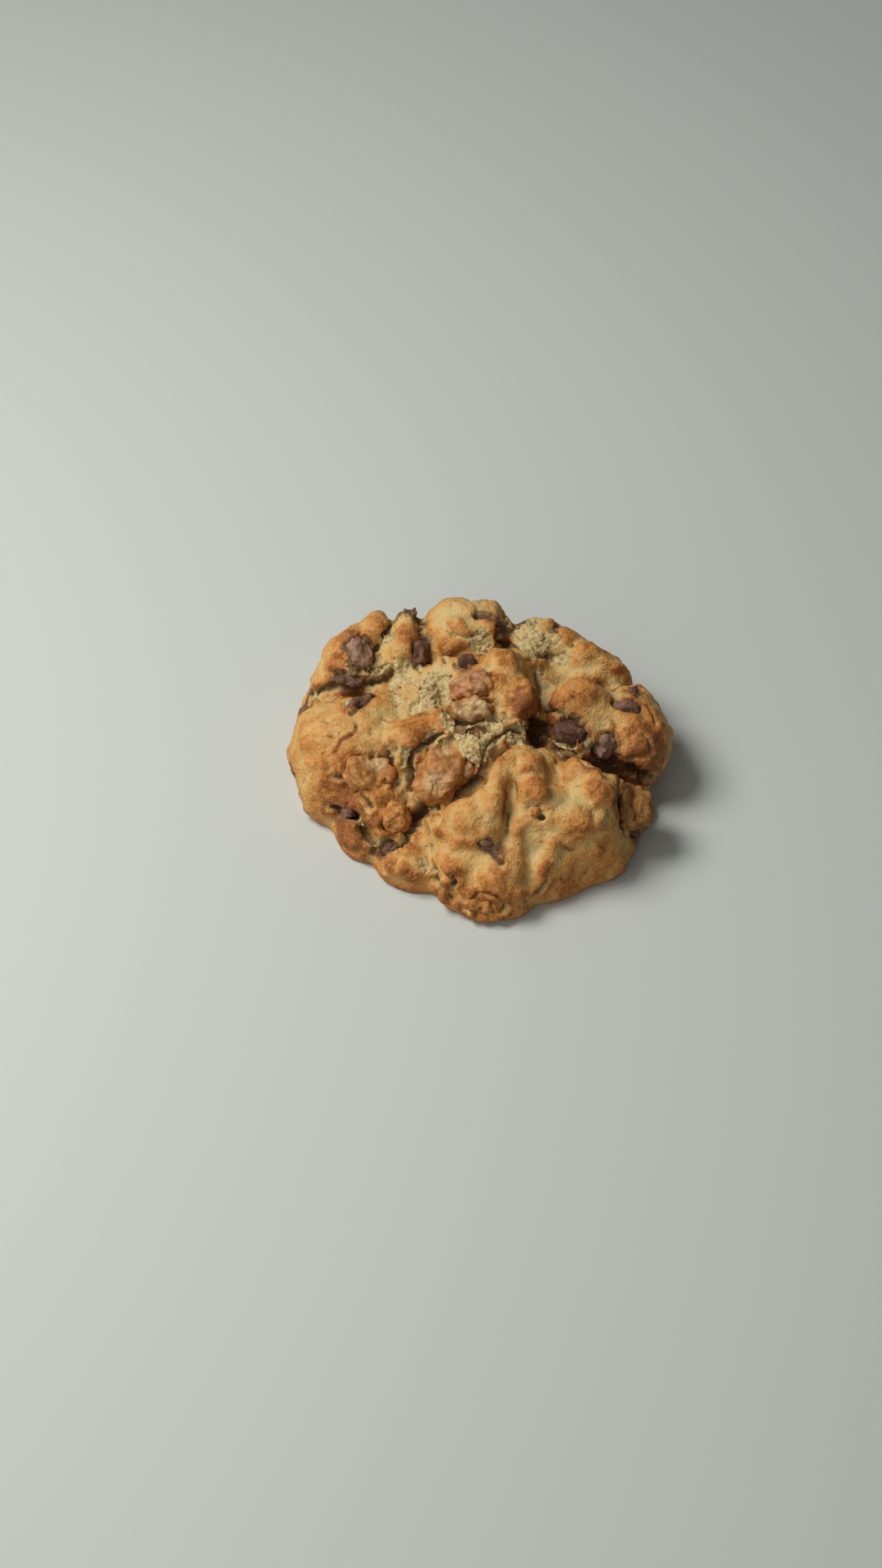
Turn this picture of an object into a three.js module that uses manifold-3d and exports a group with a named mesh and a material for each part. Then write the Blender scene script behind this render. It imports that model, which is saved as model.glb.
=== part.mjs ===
// A chunky drop cookie with chocolate chunks and walnut pieces, in millimetres, +Z up.
// The origin is the middle of the flat underside. +X is the cookie's long way, +Y is its tall back edge.
// The dough is a craggy heap of lobes that have run together in the oven, torn open across the middle.
// Chocolate and nuts are separate pieces, each seated in its own pocket in the dough.
import * as THREE from 'three';
import { mergeVertices } from 'three/addons/utils/BufferGeometryUtils.js';
import { triTable } from 'three/addons/objects/MarchingCubes.js';
import { ImprovedNoise } from 'three/addons/math/ImprovedNoise.js';
import Module from 'manifold-3d';

// Driving dimensions of the whole cookie.
const HALF_LENGTH = 54;
const HALF_DEPTH = 54;
const HEIGHT = 38;

// How finely the dough and the pieces are surfaced, and how far the lobes run into each other.
const CELL = new THREE.Vector3(2.7, 2.7, 3.1);
const LOBE_BLEND = 3;
const CREASE_BLEND = 1.2;
const POCKET_GAP = 0.35;
const FINE_FROM = 6;
const RELIEF = [
  { wavelength: 9, height: 0.9 },
  { wavelength: 5, height: 0.4 },
];

// Each lobe is a clump of lumps that run softly into each other, and meets the next lobe in a crease.
// A lump is at [x, y] with its crown at height top. size holds its half sizes, turn is in degrees about +Z,
// and square makes it squarer the more it is over 2.
const LOBES = {
  core: [
    { at: [0, 7], top: 15, size: [41, 42, 15] },
    { at: [1, 12], top: 27, size: [38, 36, 25], square: 2.3 },
  ],
  backRidge: [
    { at: [-29, 37], top: 25.5, size: [17, 16, 22] },
    { at: [-9, 42], top: 28, size: [16, 13, 24] },
    { at: [14, 40], top: 26.5, size: [16, 13, 23] },
    { at: [31, 29], top: 26, size: [14, 14, 21] },
  ],
  leftCheek: [
    { at: [-35, 3], top: 28, size: [18.5, 14.5, 18], turn: -10 },
    { at: [-43, 11], top: 23, size: [11, 12, 16] },
    { at: [-20, -1], top: 30, size: [10.5, 8.5, 15], turn: 20 },
    { at: [-39, -4], top: 19, size: [12, 9.5, 14] },
    { at: [-30, 12], top: 27, size: [16, 6.5, 13], turn: 12 },
  ],
  lowerCheek: [
    { at: [-28, -12], top: 20, size: [9.5, 9, 14] },
    { at: [-24, -17.5], top: 16.5, size: [7, 6.5, 12], turn: 20 },
    { at: [-31, -15], top: 14, size: [6, 6, 9] },
  ],
  leftFoot: [
    { at: [-34.5, -14], top: 10, size: [7, 7, 8] },
    { at: [-33, -20.5], top: 8.5, size: [5, 5, 7] },
    { at: [-28.8, -25], top: 8.5, size: [2.8, 2.8, 4] },
  ],
  frontTongue: [
    { at: [-19.5, -26], top: 11.5, size: [9.5, 9.5, 10] },
    { at: [-14, -22], top: 14, size: [7, 9, 12] },
    { at: [-16, -31], top: 8.5, size: [6.5, 5.5, 7] },
  ],
  frontFoot: [
    { at: [-6, -37.5], top: 12.5, size: [5.5, 6, 10] },
    { at: [1, -42], top: 8.5, size: [6, 5, 7] },
    { at: [-8, -32], top: 14, size: [5, 6, 10] },
  ],
  frontLobe: [
    { at: [19.5, -18], top: 25, size: [19, 16, 20], square: 3 },
    { at: [-1, -24.5], top: 25, size: [12.5, 12.5, 18] },
    { at: [6, -34.5], top: 17, size: [10, 11.5, 14] },
    { at: [32, -23], top: 17.5, size: [9.5, 10, 13] },
    { at: [19, -31], top: 15, size: [8, 9, 12] },
    { at: [6, -13], top: 30.5, size: [3.8, 9.5, 8], turn: -22 },
    { at: [3.8, -22], top: 28, size: [3.8, 6, 7], turn: 10 },
    { at: [14.2, -13], top: 31.3, size: [3.6, 6.5, 8], turn: -15 },
    { at: [15, -22.5], top: 29.8, size: [4, 4.6, 7] },
    { at: [27, -12], top: 28, size: [5, 5, 8] },
    { at: [32, -17.5], top: 27, size: [4.6, 5.5, 7] },
    { at: [36, -12], top: 24, size: [4, 5, 8] },
  ],
  frontUnderside: [
    { at: [20, -33], top: 6.5, size: [11, 6.5, 7], turn: 20 },
  ],
  rightFoot: [
    { at: [38.5, -17], top: 12, size: [6, 8, 11] },
    { at: [42, -6], top: 9, size: [7.5, 9, 9] },
  ],
  rightLobe: [
    { at: [42, 8.5], top: 27.5, size: [12.5, 12, 14] },
    { at: [44.5, 3.5], top: 23.5, size: [8.5, 8, 9.5] },
    { at: [42, 17], top: 25, size: [11, 9, 16] },
  ],
  rightShoulder: [
    { at: [28, 12], top: 32.5, size: [12, 9, 15] },
    { at: [21.5, 8.5], top: 31, size: [7, 7, 13] },
  ],
  backRight: [
    { at: [25, 37], top: 28.5, size: [6, 6, 10] },
    { at: [32, 30.5], top: 29, size: [6.5, 6, 11] },
    { at: [39, 27], top: 26.5, size: [5.5, 5, 11] },
  ],
  backCrumb: [
    { at: [14.5, 37], top: 29, size: [9, 9, 12] },
    { at: [19, 42], top: 27, size: [8, 8, 13] },
  ],
  backSlab: [
    { at: [-3, 42], top: 30.5, size: [13.2, 11.5, 16], square: 3.4 },
  ],
  backKnob: [
    { at: [-21, 35], top: 30, size: [6.5, 10, 13] },
    { at: [-21, 43], top: 29, size: [7, 10, 15] },
  ],
  backLeft: [
    { at: [-35.5, 35.5], top: 28, size: [11, 12.5, 16], turn: -25 },
    { at: [-28.5, 42], top: 28.5, size: [7.5, 9.5, 15] },
    { at: [-40, 30], top: 21, size: [9, 10, 14] },
  ],
  leftNub: [
    { at: [-46.5, 23], top: 18, size: [6.5, 6.5, 12] },
  ],
  crown: [
    { at: [4, 12], top: 35.5, size: [10, 8, 12] },
    { at: [13, 9], top: 34.5, size: [5.5, 7.5, 11] },
    { at: [7, 21.5], top: 36.2, size: [8, 6, 11] },
    { at: [-3, 20.5], top: 33.5, size: [7, 5, 10] },
    { at: [-3.5, 12.5], top: 34, size: [6.5, 7, 9] },
    { at: [-3, 5.5], top: 34, size: [8, 5, 9] },
    { at: [10, 2], top: 31.5, size: [6, 4.5, 8] },
  ],
  tornMiddle: [
    { at: [-16, 15], top: 29.8, size: [7, 5, 8] },
    { at: [-9, 24], top: 31, size: [7, 5, 8] },
    { at: [-12, 5], top: 28.6, size: [7, 5, 7] },
    { at: [-1, -5], top: 28, size: [6, 5, 7] },
    { at: [26, 1], top: 27.5, size: [11, 6, 9] },
    { at: [11, 28], top: 30, size: [9, 5, 9] },
  ],
};

// Cracks where the crust has split. Each follows its route in plan, width across and depth into the dough,
// and fades out down the sides between the two heights of CRACK_FADE.
const CRACK_FADE = [5, 18];
const CRACKS = [
  { width: 3, depth: 4, route: [[-56, 23], [-44, 23], [-35, 21.5], [-27, 20.5], [-22, 19]] },
  { width: 2.4, depth: 2.2, route: [[-25, 54], [-25, 41], [-27, 34], [-27, 26]] },
  { width: 2.4, depth: 2.4, route: [[-16.5, 56], [-16, 44], [-15, 36], [-13, 30]] },
  { width: 2.4, depth: 3.5, route: [[9.5, 50], [8.5, 42], [7, 36], [6, 30]] },
  { width: 2.2, depth: 2, route: [[-12, 30], [-4, 29], [4, 29]] },
  { width: 3, depth: 2.5, route: [[-7, 17], [-10, 11], [-9, 2], [-4, -1], [5, -2]] },
  { width: 3, depth: 3, route: [[14, 22], [18, 15], [18.5, 6], [16, 1]] },
  { width: 4, depth: 9, route: [[14, 2], [18, 3]] },
  { width: 3, depth: 5, route: [[16, 1], [9, -2.5], [3, -8], [-1, -14], [-6, -18.5], [-17, -24]] },
  { width: 3, depth: 3.5, route: [[18, -1], [26, -5.5], [34, -8], [42, -7], [54, -6]] },
  { width: 2.4, depth: 3, route: [[-8, -4], [-14, -8], [-19, -12], [-19.5, -17], [-17, -24]] },
  { width: 2.2, depth: 2.5, route: [[-41, -9], [-36, -12], [-32, -6], [-24, -6]] },
  { width: 2.4, depth: 1.2, route: [[10, -10], [10, -17], [8.5, -23], [8, -30]] },
  { width: 2.4, depth: 2.5, route: [[20, -8], [20.5, -15], [24, -21]] },
  { width: 2, depth: 3, route: [[-12, -42], [-11, -36], [-9.5, -29]] },
  { width: 2.2, depth: 2.5, route: [[21, 24], [30, 22], [36, 21], [44, 25]] },
];

// Pieces set in the dough. near is a place by its surface. size holds the half sizes along, across and in.
// proud is how far the piece stands out of the dough, and turn is in degrees about the way that it faces.
const CHUNKS = [
  { name: 'chunk_back_left', near: [-33, 31.8, 26], size: [4.6, 5.4, 4], proud: 0.8, turn: 20 },
  { name: 'chunk_back_rim_left', near: [-20.5, 46, 26], size: [3.2, 2.4, 3], proud: 0.8, turn: 0 },
  { name: 'chunk_back_rim_right', near: [12.2, 44.5, 26], size: [2.8, 2.4, 3], proud: 0.8, turn: 30 },
  { name: 'chunk_back_corner', near: [22.5, 40, 26], size: [2.4, 2.6, 3], proud: 0.6, turn: 0 },
  { name: 'chunk_by_knob', near: [-14.4, 33, 23.5], size: [4.2, 4.6, 3.6], proud: 2.2, turn: -15 },
  { name: 'chunk_slab', near: [3.5, 41, 29], size: [5, 1.6, 2.4], proud: 0.3, turn: 0 },
  { name: 'chip_crown', near: [-3.8, 22, 32.5], size: [2.6, 2.3, 2.6], proud: 1.4, turn: 0 },
  { name: 'chunk_left_edge', near: [-51, 21, 14], size: [2.4, 4, 3], proud: 0.4, turn: 0 },
  { name: 'chunk_left_split', near: [-38, 22.5, 20], size: [5, 2.2, 3], proud: 1, turn: -10 },
  { name: 'streak_cheek', near: [-32.8, 13, 27], size: [5.4, 1.7, 2.4], proud: 0.3, turn: 40 },
  { name: 'chunk_right_inner', near: [25, 2.4, 28], size: [5.8, 3.7, 3.2], proud: 1.4, turn: -25 },
  { name: 'chunk_right_outer', near: [38, -5.6, 24.5], size: [4.4, 4, 3.2], proud: 1.4, turn: -30 },
  { name: 'streak_right_lobe', near: [40, 11, 27], size: [4.4, 1.8, 2.6], proud: 0.4, turn: -10 },
  { name: 'chip_right_lobe', near: [43.7, 18.5, 24], size: [2, 3, 2.6], proud: 0.4, turn: -30 },
  { name: 'streak_front', near: [2.5, -34.5, 18], size: [4, 1.5, 2.4], proud: 0.3, turn: -30 },
  { name: 'chunk_left_foot', near: [-37.5, -14.5, 9], size: [3.4, 1.8, 2.6], proud: 0.6, turn: -20 },
  { name: 'chunk_tongue', near: [-26, -26, 8], size: [3.6, 2, 2.6], proud: 0.6, turn: 20 },
  { name: 'chunk_left_low', near: [-51, 2, 8], size: [2.6, 2.2, 3], proud: 0.6, turn: 0 },
  { name: 'chunk_right_low', near: [45, -21, 8], size: [2.6, 2.4, 3], proud: 0.6, turn: 0 },
];
const NUTS = [
  { name: 'walnut_cheek', near: [-29.8, -6.6, 24.2], size: [7.4, 6, 4.8], proud: 2, turn: 25 },
  { name: 'walnut_split', near: [-12.5, -14, 26], size: [6.6, 8.2, 6.4], proud: 4.6, turn: -20 },
  { name: 'walnut_pale', near: [-3.4, -13, 25], size: [3.6, 2.6, 2.8], proud: 1.6, turn: 20 },
  { name: 'walnut_crown', near: [-3, 1.5, 33], size: [6.6, 3.4, 3.6], proud: 1.6, turn: 5 },
  { name: 'walnut_crown_skin', near: [-3.2, 11.4, 35], size: [7.4, 5.6, 4], proud: 1.4, turn: 10 },
  { name: 'walnut_right', near: [41, -16.5, 12], size: [5, 7.8, 5], proud: 7.8, turn: 0 },
  { name: 'walnut_lower_cheek', near: [-23, -21, 14], size: [4.4, 5, 4], proud: 1.4, turn: 20 },
  { name: 'walnut_foot', near: [2, -44.5, 7], size: [5, 3.6, 3.6], proud: 1.4, turn: 10 },
  { name: 'walnut_dimple', near: [14.5, -28.7, 25], size: [2.2, 2, 2.2], proud: 0.4, turn: 0 },
];

const noise = new ImprovedNoise();

// Distance-like value of a lump: negative inside it.
function lumpField(p, lump) {
  const [halfX, halfY, halfZ] = lump.size;
  const turn = THREE.MathUtils.degToRad(lump.turn ?? 0);
  const power = lump.square ?? 2;
  const dx = p.x - lump.at[0];
  const dy = p.y - lump.at[1];
  const dz = p.z - (lump.top - halfZ);
  const qx = Math.abs(dx * Math.cos(turn) + dy * Math.sin(turn)) / halfX;
  const qy = Math.abs(dy * Math.cos(turn) - dx * Math.sin(turn)) / halfY;
  const qz = Math.abs(dz) / halfZ;
  const reach = (qx ** power + qy ** power + qz ** power) ** (1 / power);
  const steepness = Math.hypot(qx / halfX, qy / halfY, qz / halfZ) || 1 / halfZ;
  return (reach - 1) * reach / steepness;
}

// The smaller of two fields, rounded over blend where they are alike.
function softMin(a, b, blend) {
  const overlap = Math.max(blend - Math.abs(a - b), 0) / blend;
  return Math.min(a, b) - overlap * overlap * blend / 4;
}

// Distance in plan from a point to a crack's route.
function distanceToRoute(p, route) {
  let nearest = Infinity;
  for (let i = 1; i < route.length; i++) {
    const [ax, ay] = route[i - 1];
    const [bx, by] = route[i];
    const along = (p.x - ax) * (bx - ax) + (p.y - ay) * (by - ay);
    const t = THREE.MathUtils.clamp(along / ((bx - ax) ** 2 + (by - ay) ** 2), 0, 1);
    nearest = Math.min(nearest, Math.hypot(p.x - ax - t * (bx - ax), p.y - ay - t * (by - ay)));
  }
  return nearest;
}

// The dough's field: lobes in creases, cracks cut in and crags raised, negative inside.
function doughField(p) {
  let value = Infinity;
  for (const lumps of Object.values(LOBES)) {
    let lobe = Infinity;
    for (const lump of lumps) {
      lobe = softMin(lobe, lumpField(p, lump), LOBE_BLEND);
    }
    value = softMin(value, lobe, CREASE_BLEND);
  }
  for (const crack of CRACKS) {
    const closeness = 1 - distanceToRoute(p, crack.route) / crack.width;
    const cut = THREE.MathUtils.smoothstep(closeness, 0, 1) * THREE.MathUtils.smoothstep(p.z, ...CRACK_FADE);
    value += crack.depth * cut;
  }
  for (const { wavelength, height } of RELIEF) {
    value -= height * noise.noise(p.x / wavelength + 7.3, p.y / wavelength + 2.1, p.z / wavelength + 5.7);
  }
  return value;
}

// Corners of a grid cell and the pairs of corners that its twelve edges join, in the order of triTable.
const CORNERS = [[0, 0, 0], [1, 0, 0], [1, 1, 0], [0, 1, 0], [0, 0, 1], [1, 0, 1], [1, 1, 1], [0, 1, 1]];
const EDGES = [
  [0, 1], [1, 2], [2, 3], [3, 0],
  [4, 5], [5, 6], [6, 7], [7, 4],
  [0, 4], [1, 5], [2, 6], [3, 7],
];

// A closed surface where field is zero inside box, as an indexed geometry.
function surfaceOf(field, box, cell) {
  const size = box.getSize(new THREE.Vector3()).divide(cell).ceil();
  const [nx, ny, nz] = [size.x + 1, size.y + 1, size.z + 1];
  const index = (i, j, k) => (k * ny + j) * nx + i;
  const place = (i, j, k) => new THREE.Vector3(i, j, k).multiply(cell).add(box.min);
  const values = new Float64Array(nx * ny * nz);
  for (let k = 0; k < nz; k++) {
    for (let j = 0; j < ny; j++) {
      for (let i = 0; i < nx; i++) {
        const value = field(place(i, j, k));
        // A value close to zero would give sliver faces, so it is pushed off zero.
        values[index(i, j, k)] = Math.sign(value || 1) * Math.max(Math.abs(value), cell.x * 0.12);
      }
    }
  }
  const positions = [];
  const faces = [];
  const made = new Map();
  const vertexOn = (i, j, k, edge) => {
    const [a, b] = EDGES[edge].map((c) => CORNERS[c].map((step, axis) => step + [i, j, k][axis]));
    const [ia, ib] = [index(...a), index(...b)];
    const key = Math.min(ia, ib) * nx * ny * nz + Math.max(ia, ib);
    if (!made.has(key)) {
      const share = values[ia] / (values[ia] - values[ib]);
      positions.push(...place(...a).lerp(place(...b), share).toArray());
      made.set(key, positions.length / 3 - 1);
    }
    return made.get(key);
  };
  for (let k = 0; k < nz - 1; k++) {
    for (let j = 0; j < ny - 1; j++) {
      for (let i = 0; i < nx - 1; i++) {
        const inside = CORNERS.map(([a, b, c]) => values[index(i + a, j + b, k + c)] < 0);
        const signs = inside.reduce((bits, within, n) => bits | (within ? 1 << n : 0), 0);
        for (let n = signs * 16; triTable[n] !== -1; n += 3) {
          faces.push(...[n, n + 2, n + 1].map((m) => vertexOn(i, j, k, triTable[m])));
        }
      }
    }
  }
  const geometry = new THREE.BufferGeometry();
  geometry.setAttribute('position', new THREE.Float32BufferAttribute(positions, 3));
  geometry.setIndex(faces);
  return geometry;
}

const wasm = await Module();
wasm.setup();

// A closed geometry as a solid that can be joined and cut.
function solidOf(geometry) {
  const bare = geometry.clone();
  bare.deleteAttribute('normal');
  bare.deleteAttribute('uv');
  const merged = mergeVertices(bare, 1e-4);
  return new wasm.Manifold(new wasm.Mesh({
    numProp: 3,
    vertProperties: merged.attributes.position.array,
    triVerts: new Uint32Array(merged.index.array),
  }));
}

// A solid as a geometry.
function geometryOf(solid) {
  const { vertProperties, triVerts, numProp } = solid.getMesh();
  const positions = [];
  for (let i = 0; i < vertProperties.length; i += numProp) {
    positions.push(vertProperties[i], vertProperties[i + 1], vertProperties[i + 2]);
  }
  const geometry = new THREE.BufferGeometry();
  geometry.setAttribute('position', new THREE.Float32BufferAttribute(positions, 3));
  geometry.setIndex(Array.from(triVerts));
  geometry.computeVertexNormals();
  return geometry;
}

// The biggest of the bodies in a solid: a crumb that a cut leaves loose is dropped.
function biggestBody(solid) {
  return solid.decompose().reduce((best, body) => (body.volume() > best.volume() ? body : best));
}

// A ball whose radius follows shape(direction), scaled to the half sizes plus spare all round.
function pebble(size, spare, detail, shape) {
  const ball = new THREE.IcosahedronGeometry(1, detail).deleteAttribute('normal').deleteAttribute('uv');
  const geometry = mergeVertices(ball);
  const position = geometry.attributes.position;
  const direction = new THREE.Vector3();
  for (let i = 0; i < position.count; i++) {
    direction.fromBufferAttribute(position, i).normalize();
    const point = direction.clone().multiplyScalar(shape(direction));
    position.setXYZ(i, ...point.toArray().map((value, axis) => value * (size[axis] + spare)));
  }
  geometry.computeVertexNormals();
  return geometry;
}

// Chopped chocolate: a block with worn corners.
function chocolateShape(seed) {
  return (d) => {
    const block = (d.x ** 4 + d.y ** 4 + d.z ** 4) ** -0.25;
    return block * (0.93 + 0.16 * noise.noise(d.x * 1.7 + seed * 3.1, d.y * 1.7, d.z * 1.7));
  };
}

// Walnut: a rounded piece with furrows that wander over it.
function walnutShape(seed) {
  return (d) => {
    const wander = noise.noise(d.x * 1.3, d.y * 1.3 + seed * 5.3, d.z * 1.3);
    const furrow = Math.abs(Math.sin(2.6 * d.x + 1.2 * d.y + 4 * wander + seed));
    return 0.86 + 0.14 * furrow + 0.1 * noise.noise(d.x * 2.2 + seed, d.y * 2.2, d.z * 2.2);
  };
}

// The dough's outward way at a point.
function outward(p) {
  const step = 0.6;
  const beside = (x, y, z) => doughField(new THREE.Vector3(x, y, z).multiplyScalar(step).add(p));
  return new THREE.Vector3(
    beside(1, 0, 0) - beside(-1, 0, 0),
    beside(0, 1, 0) - beside(0, -1, 0),
    beside(0, 0, 1) - beside(0, 0, -1),
  ).normalize();
}

// Seats a mesh at the dough's surface by its near place, facing out of it.
function seat(mesh, { near, size, proud, turn }) {
  const p = new THREE.Vector3(...near);
  for (let i = 0; i < 12; i++) {
    p.addScaledVector(outward(p), -0.7 * doughField(p));
  }
  const facing = outward(p);
  mesh.position.copy(p).addScaledVector(facing, proud - size[2]);
  const along = new THREE.Vector3(1, 0, 0).addScaledVector(facing, -facing.x).normalize();
  const across = facing.clone().cross(along);
  mesh.quaternion.setFromRotationMatrix(new THREE.Matrix4().makeBasis(along, across, facing));
  mesh.rotateZ(THREE.MathUtils.degToRad(turn));
  mesh.updateMatrix();
}

const doughMaterial = new THREE.MeshStandardMaterial({ color: 0xc08a4c, roughness: 0.9, metalness: 0 });
const chocolateMaterial = new THREE.MeshStandardMaterial({ color: 0x4f3229, roughness: 0.55, metalness: 0 });
const walnutMaterial = new THREE.MeshStandardMaterial({ color: 0xb5793b, roughness: 0.6, metalness: 0 });

const cookie = new THREE.Group();
const pockets = [];

// A mesh's geometry, cut clear of the pockets of the pieces before it.
function clearOfPockets(mesh) {
  const toMesh = mesh.matrix.clone().invert();
  let solid = solidOf(mesh.geometry);
  for (const pocket of pockets) {
    solid = solid.subtract(solidOf(pocket.clone().applyMatrix4(toMesh)));
  }
  return geometryOf(biggestBody(solid));
}

// Adds one seated piece for each entry, and keeps the pocket that it needs.
function addPieces(entries, shapeOf, material) {
  entries.forEach((entry, order) => {
    const shape = shapeOf(order + 1);
    const detail = Math.max(...entry.size) > FINE_FROM ? 2 : 1;
    const mesh = new THREE.Mesh(pebble(entry.size, 0, detail, shape), material);
    mesh.name = entry.name;
    seat(mesh, entry);
    mesh.geometry = clearOfPockets(mesh);
    cookie.add(mesh);
    pockets.push(pebble(entry.size, POCKET_GAP, detail, shape).applyMatrix4(mesh.matrix));
  });
}

addPieces(CHUNKS, chocolateShape, chocolateMaterial);
addPieces(NUTS, walnutShape, walnutMaterial);

// The dough is surfaced a little below the table and cut flat there, and the pockets are cut out of it.
function doughSolid() {
  const margin = 6;
  const below = 3;
  const box = new THREE.Box3(
    new THREE.Vector3(-HALF_LENGTH - margin, -HALF_DEPTH - margin, -below * CELL.z),
    new THREE.Vector3(HALF_LENGTH + margin, HALF_DEPTH + margin, HEIGHT + margin),
  );
  const walled = (p) => Math.max(doughField(p), -p.z - (below - 1) * CELL.z);
  const table = new THREE.BoxGeometry(4 * HALF_LENGTH, 4 * HALF_DEPTH, HEIGHT).translate(0, 0, -HEIGHT / 2);
  let solid = solidOf(surfaceOf(walled, box, CELL)).subtract(solidOf(table));
  for (const pocket of pockets) {
    solid = solid.subtract(solidOf(pocket));
  }
  return biggestBody(solid);
}

const dough = new THREE.Mesh(geometryOf(doughSolid()), doughMaterial);
dough.name = 'dough';
cookie.add(dough);

// The frame's origin is the middle of the box's underside.
const extent = new THREE.Box3().setFromObject(cookie, true);
const middle = extent.getCenter(new THREE.Vector3());
cookie.position.set(-middle.x, -middle.y, -extent.min.z);

export default new THREE.Group().add(cookie);
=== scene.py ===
"""A chocolate chip cookie with walnuts: crust, torn crumb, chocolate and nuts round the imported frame.

Shapes are worked out in millimetres and become metres when their objects are made.
Places on the crust are given as pixels of the 1080 x 1920 photograph, and land where the camera's
ray through the pixel meets the cookie.
"""

import itertools
import math

import bmesh
import bpy
import numpy as np
from mathutils import Matrix, Vector
from mathutils.bvhtree import BVHTree


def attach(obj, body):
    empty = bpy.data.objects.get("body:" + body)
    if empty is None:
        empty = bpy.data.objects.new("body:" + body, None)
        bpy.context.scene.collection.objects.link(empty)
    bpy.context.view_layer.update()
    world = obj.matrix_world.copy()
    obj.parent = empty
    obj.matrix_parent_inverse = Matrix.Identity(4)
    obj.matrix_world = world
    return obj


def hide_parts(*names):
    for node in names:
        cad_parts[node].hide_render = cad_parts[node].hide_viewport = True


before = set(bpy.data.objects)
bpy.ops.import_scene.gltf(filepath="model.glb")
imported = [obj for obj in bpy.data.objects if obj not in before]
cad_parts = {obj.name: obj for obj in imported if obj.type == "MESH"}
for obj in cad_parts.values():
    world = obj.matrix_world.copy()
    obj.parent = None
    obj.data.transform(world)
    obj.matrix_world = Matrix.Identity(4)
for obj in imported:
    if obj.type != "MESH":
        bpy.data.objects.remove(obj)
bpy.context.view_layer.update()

MM = 0.001

# The photograph's camera: the point it looks at, its tilt and distance, and its lens in pixels.
TARGET = np.array([-11.04, -0.35, 0.0])
TILT_DOWN = math.radians(49.0)
DISTANCE = 750.0
LENS_PIXELS = 3225.0
MIDDLE_PIXEL = (540.0, 960.0)
FRAME_HEIGHT = 1920.0
SENSOR_HEIGHT = 36.0
CLIP_METRES = (0.01, 20.0)
FORWARD = np.array([0.0, math.cos(TILT_DOWN), -math.sin(TILT_DOWN)])
UPWARD = np.array([0.0, math.sin(TILT_DOWN), math.cos(TILT_DOWN)])
EYE = TARGET - DISTANCE * FORWARD

# The studio, in metres and watts. A light is its size, its power and its place.
FLOOR_HALF = 4.0
FLOOR_COLOR = (0.54, 0.56, 0.51)
FLOOR_ROUGHNESS = 0.7
SKY_COLOR = (0.97, 0.99, 1.0)
SKY_STRENGTH = 0.13
LIGHTS = {
    "key": (0.34, 5.1, (-0.41, 0.06, 0.635)),
    "fill": (0.8, 1.9, (-0.45, -0.62, 0.45)),
}

# How finely the dough is meshed, first for its lumps and then for its crumb, and its most triangles.
BLOCK_VOXEL = 0.9
FINE_VOXEL = 0.46
MOST_TRIANGLES = 196000

# How finely the chocolate and the walnuts are meshed.
CHOCOLATE_VOXEL = 0.36
WALNUT_VOXEL = 0.4

# How many times the facets of the CAD are blurred, in the dough and in the pieces.
FACET_BLUR = 7
PIECE_BLUR = 3

# How many times the directions that points move along are blurred, and how shut in a point is.
BLOCK_FACING_BLUR = 4
CRUST_FACING_BLUR = 6
CHOCOLATE_FACING_BLUR = 3
WALNUT_FACING_BLUR = 8
SHUT_BLUR = 2

# How many times the crust is blurred to tell what stands out of it, and the splits to find their lips.
WIDE_BLUR = 90
CLOSE_BLUR = 12
LIP_BLUR = 12

# How far a piece swells to fill its pocket in the dough, and how high the flat base reaches.
POCKET_FILL = 0.45
BASE_HEIGHT = 0.5

# Strokes: the pixels between their samples, and the longest gap on the surface that they cross.
STROKE_STEP = 4.0
LONGEST_STEP = 4.0

# The farthest that a distance to a piece is measured.
FAR = 2.8

# How far, and in how many directions, a place looks for what shuts it in. A ray starts a little way
# out, and one that leaves too flat isn't counted.
AIR_REACH = 9.0
AIR_RAYS = 24
AIR_SEED = 5
AIR_START = 0.4
AIR_LEAST = 0.15

# Noise is made of this many gradients, and stretched to reach about 1.
GRADIENT_SEED = 11
GRADIENT_COUNT = 256
NOISE_STRETCH = 1.8

# Noise in layers: height, size, seed.
STROKE_WARP = [(0.3, 4.5, 21), (0.15, 2.2, 22)]
SPLIT_WOBBLE = [(1.0, 2.3, 31), (0.6, 1.1, 32)]
DOUGH_LUMPS = [(1.2, 7.5, 1), (0.4, 3.8, 2)]
KNOBS = [(1.9, 4.6, 3)]
KNOB_GRAIN = [(1.0, 2.6, 4)]
TEAR_EDGE = [(1.0, 3.0, 41), (0.5, 1.4, 42)]
TEAR_ISLANDS = [(1.0, 5.0, 49)]
FAR_TEARS = [(1.0, 13.0, 43)]
FAR_CRACKS = [(1.0, 11.0, 48)]
CRUMB_GRAIN = [(0.3, 1.6, 53)]
CRUST_GRAIN = [(0.24, 2.6, 71), (0.12, 1.25, 72)]
LAP_EDGE = [(1.1, 3.6, 81), (0.6, 1.5, 82)]
BLOTCHES = [(0.12, 8.0, 91), (0.08, 3.2, 92)]
SMEAR_EDGE = [(0.8, 3.0, 95), (0.5, 1.3, 96)]
STAIN_EDGE = [(0.3, 2.4, 97), (0.2, 1.1, 98)]

# How far the creases between lumps lie below the middle of their relief.
LUMP_LEVEL = 0.3
KNOB_LEVEL = 0.25

# Lumps that each stand at a level of their own: height, size, seed, width of the border.
COARSE_CRUMB = (1.0, 3.0, 51, 0.4)
FINE_CRUMB = (0.6, 1.5, 52, 0.4)

# How far torn crumb lies below the crust, and the depth and width of the gaps between its lumps.
CRUMB_DEPTH = 0.4
CRUMB_GAP_DEPTH = 0.45
CRUMB_GAP_WIDTH = 0.14

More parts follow.
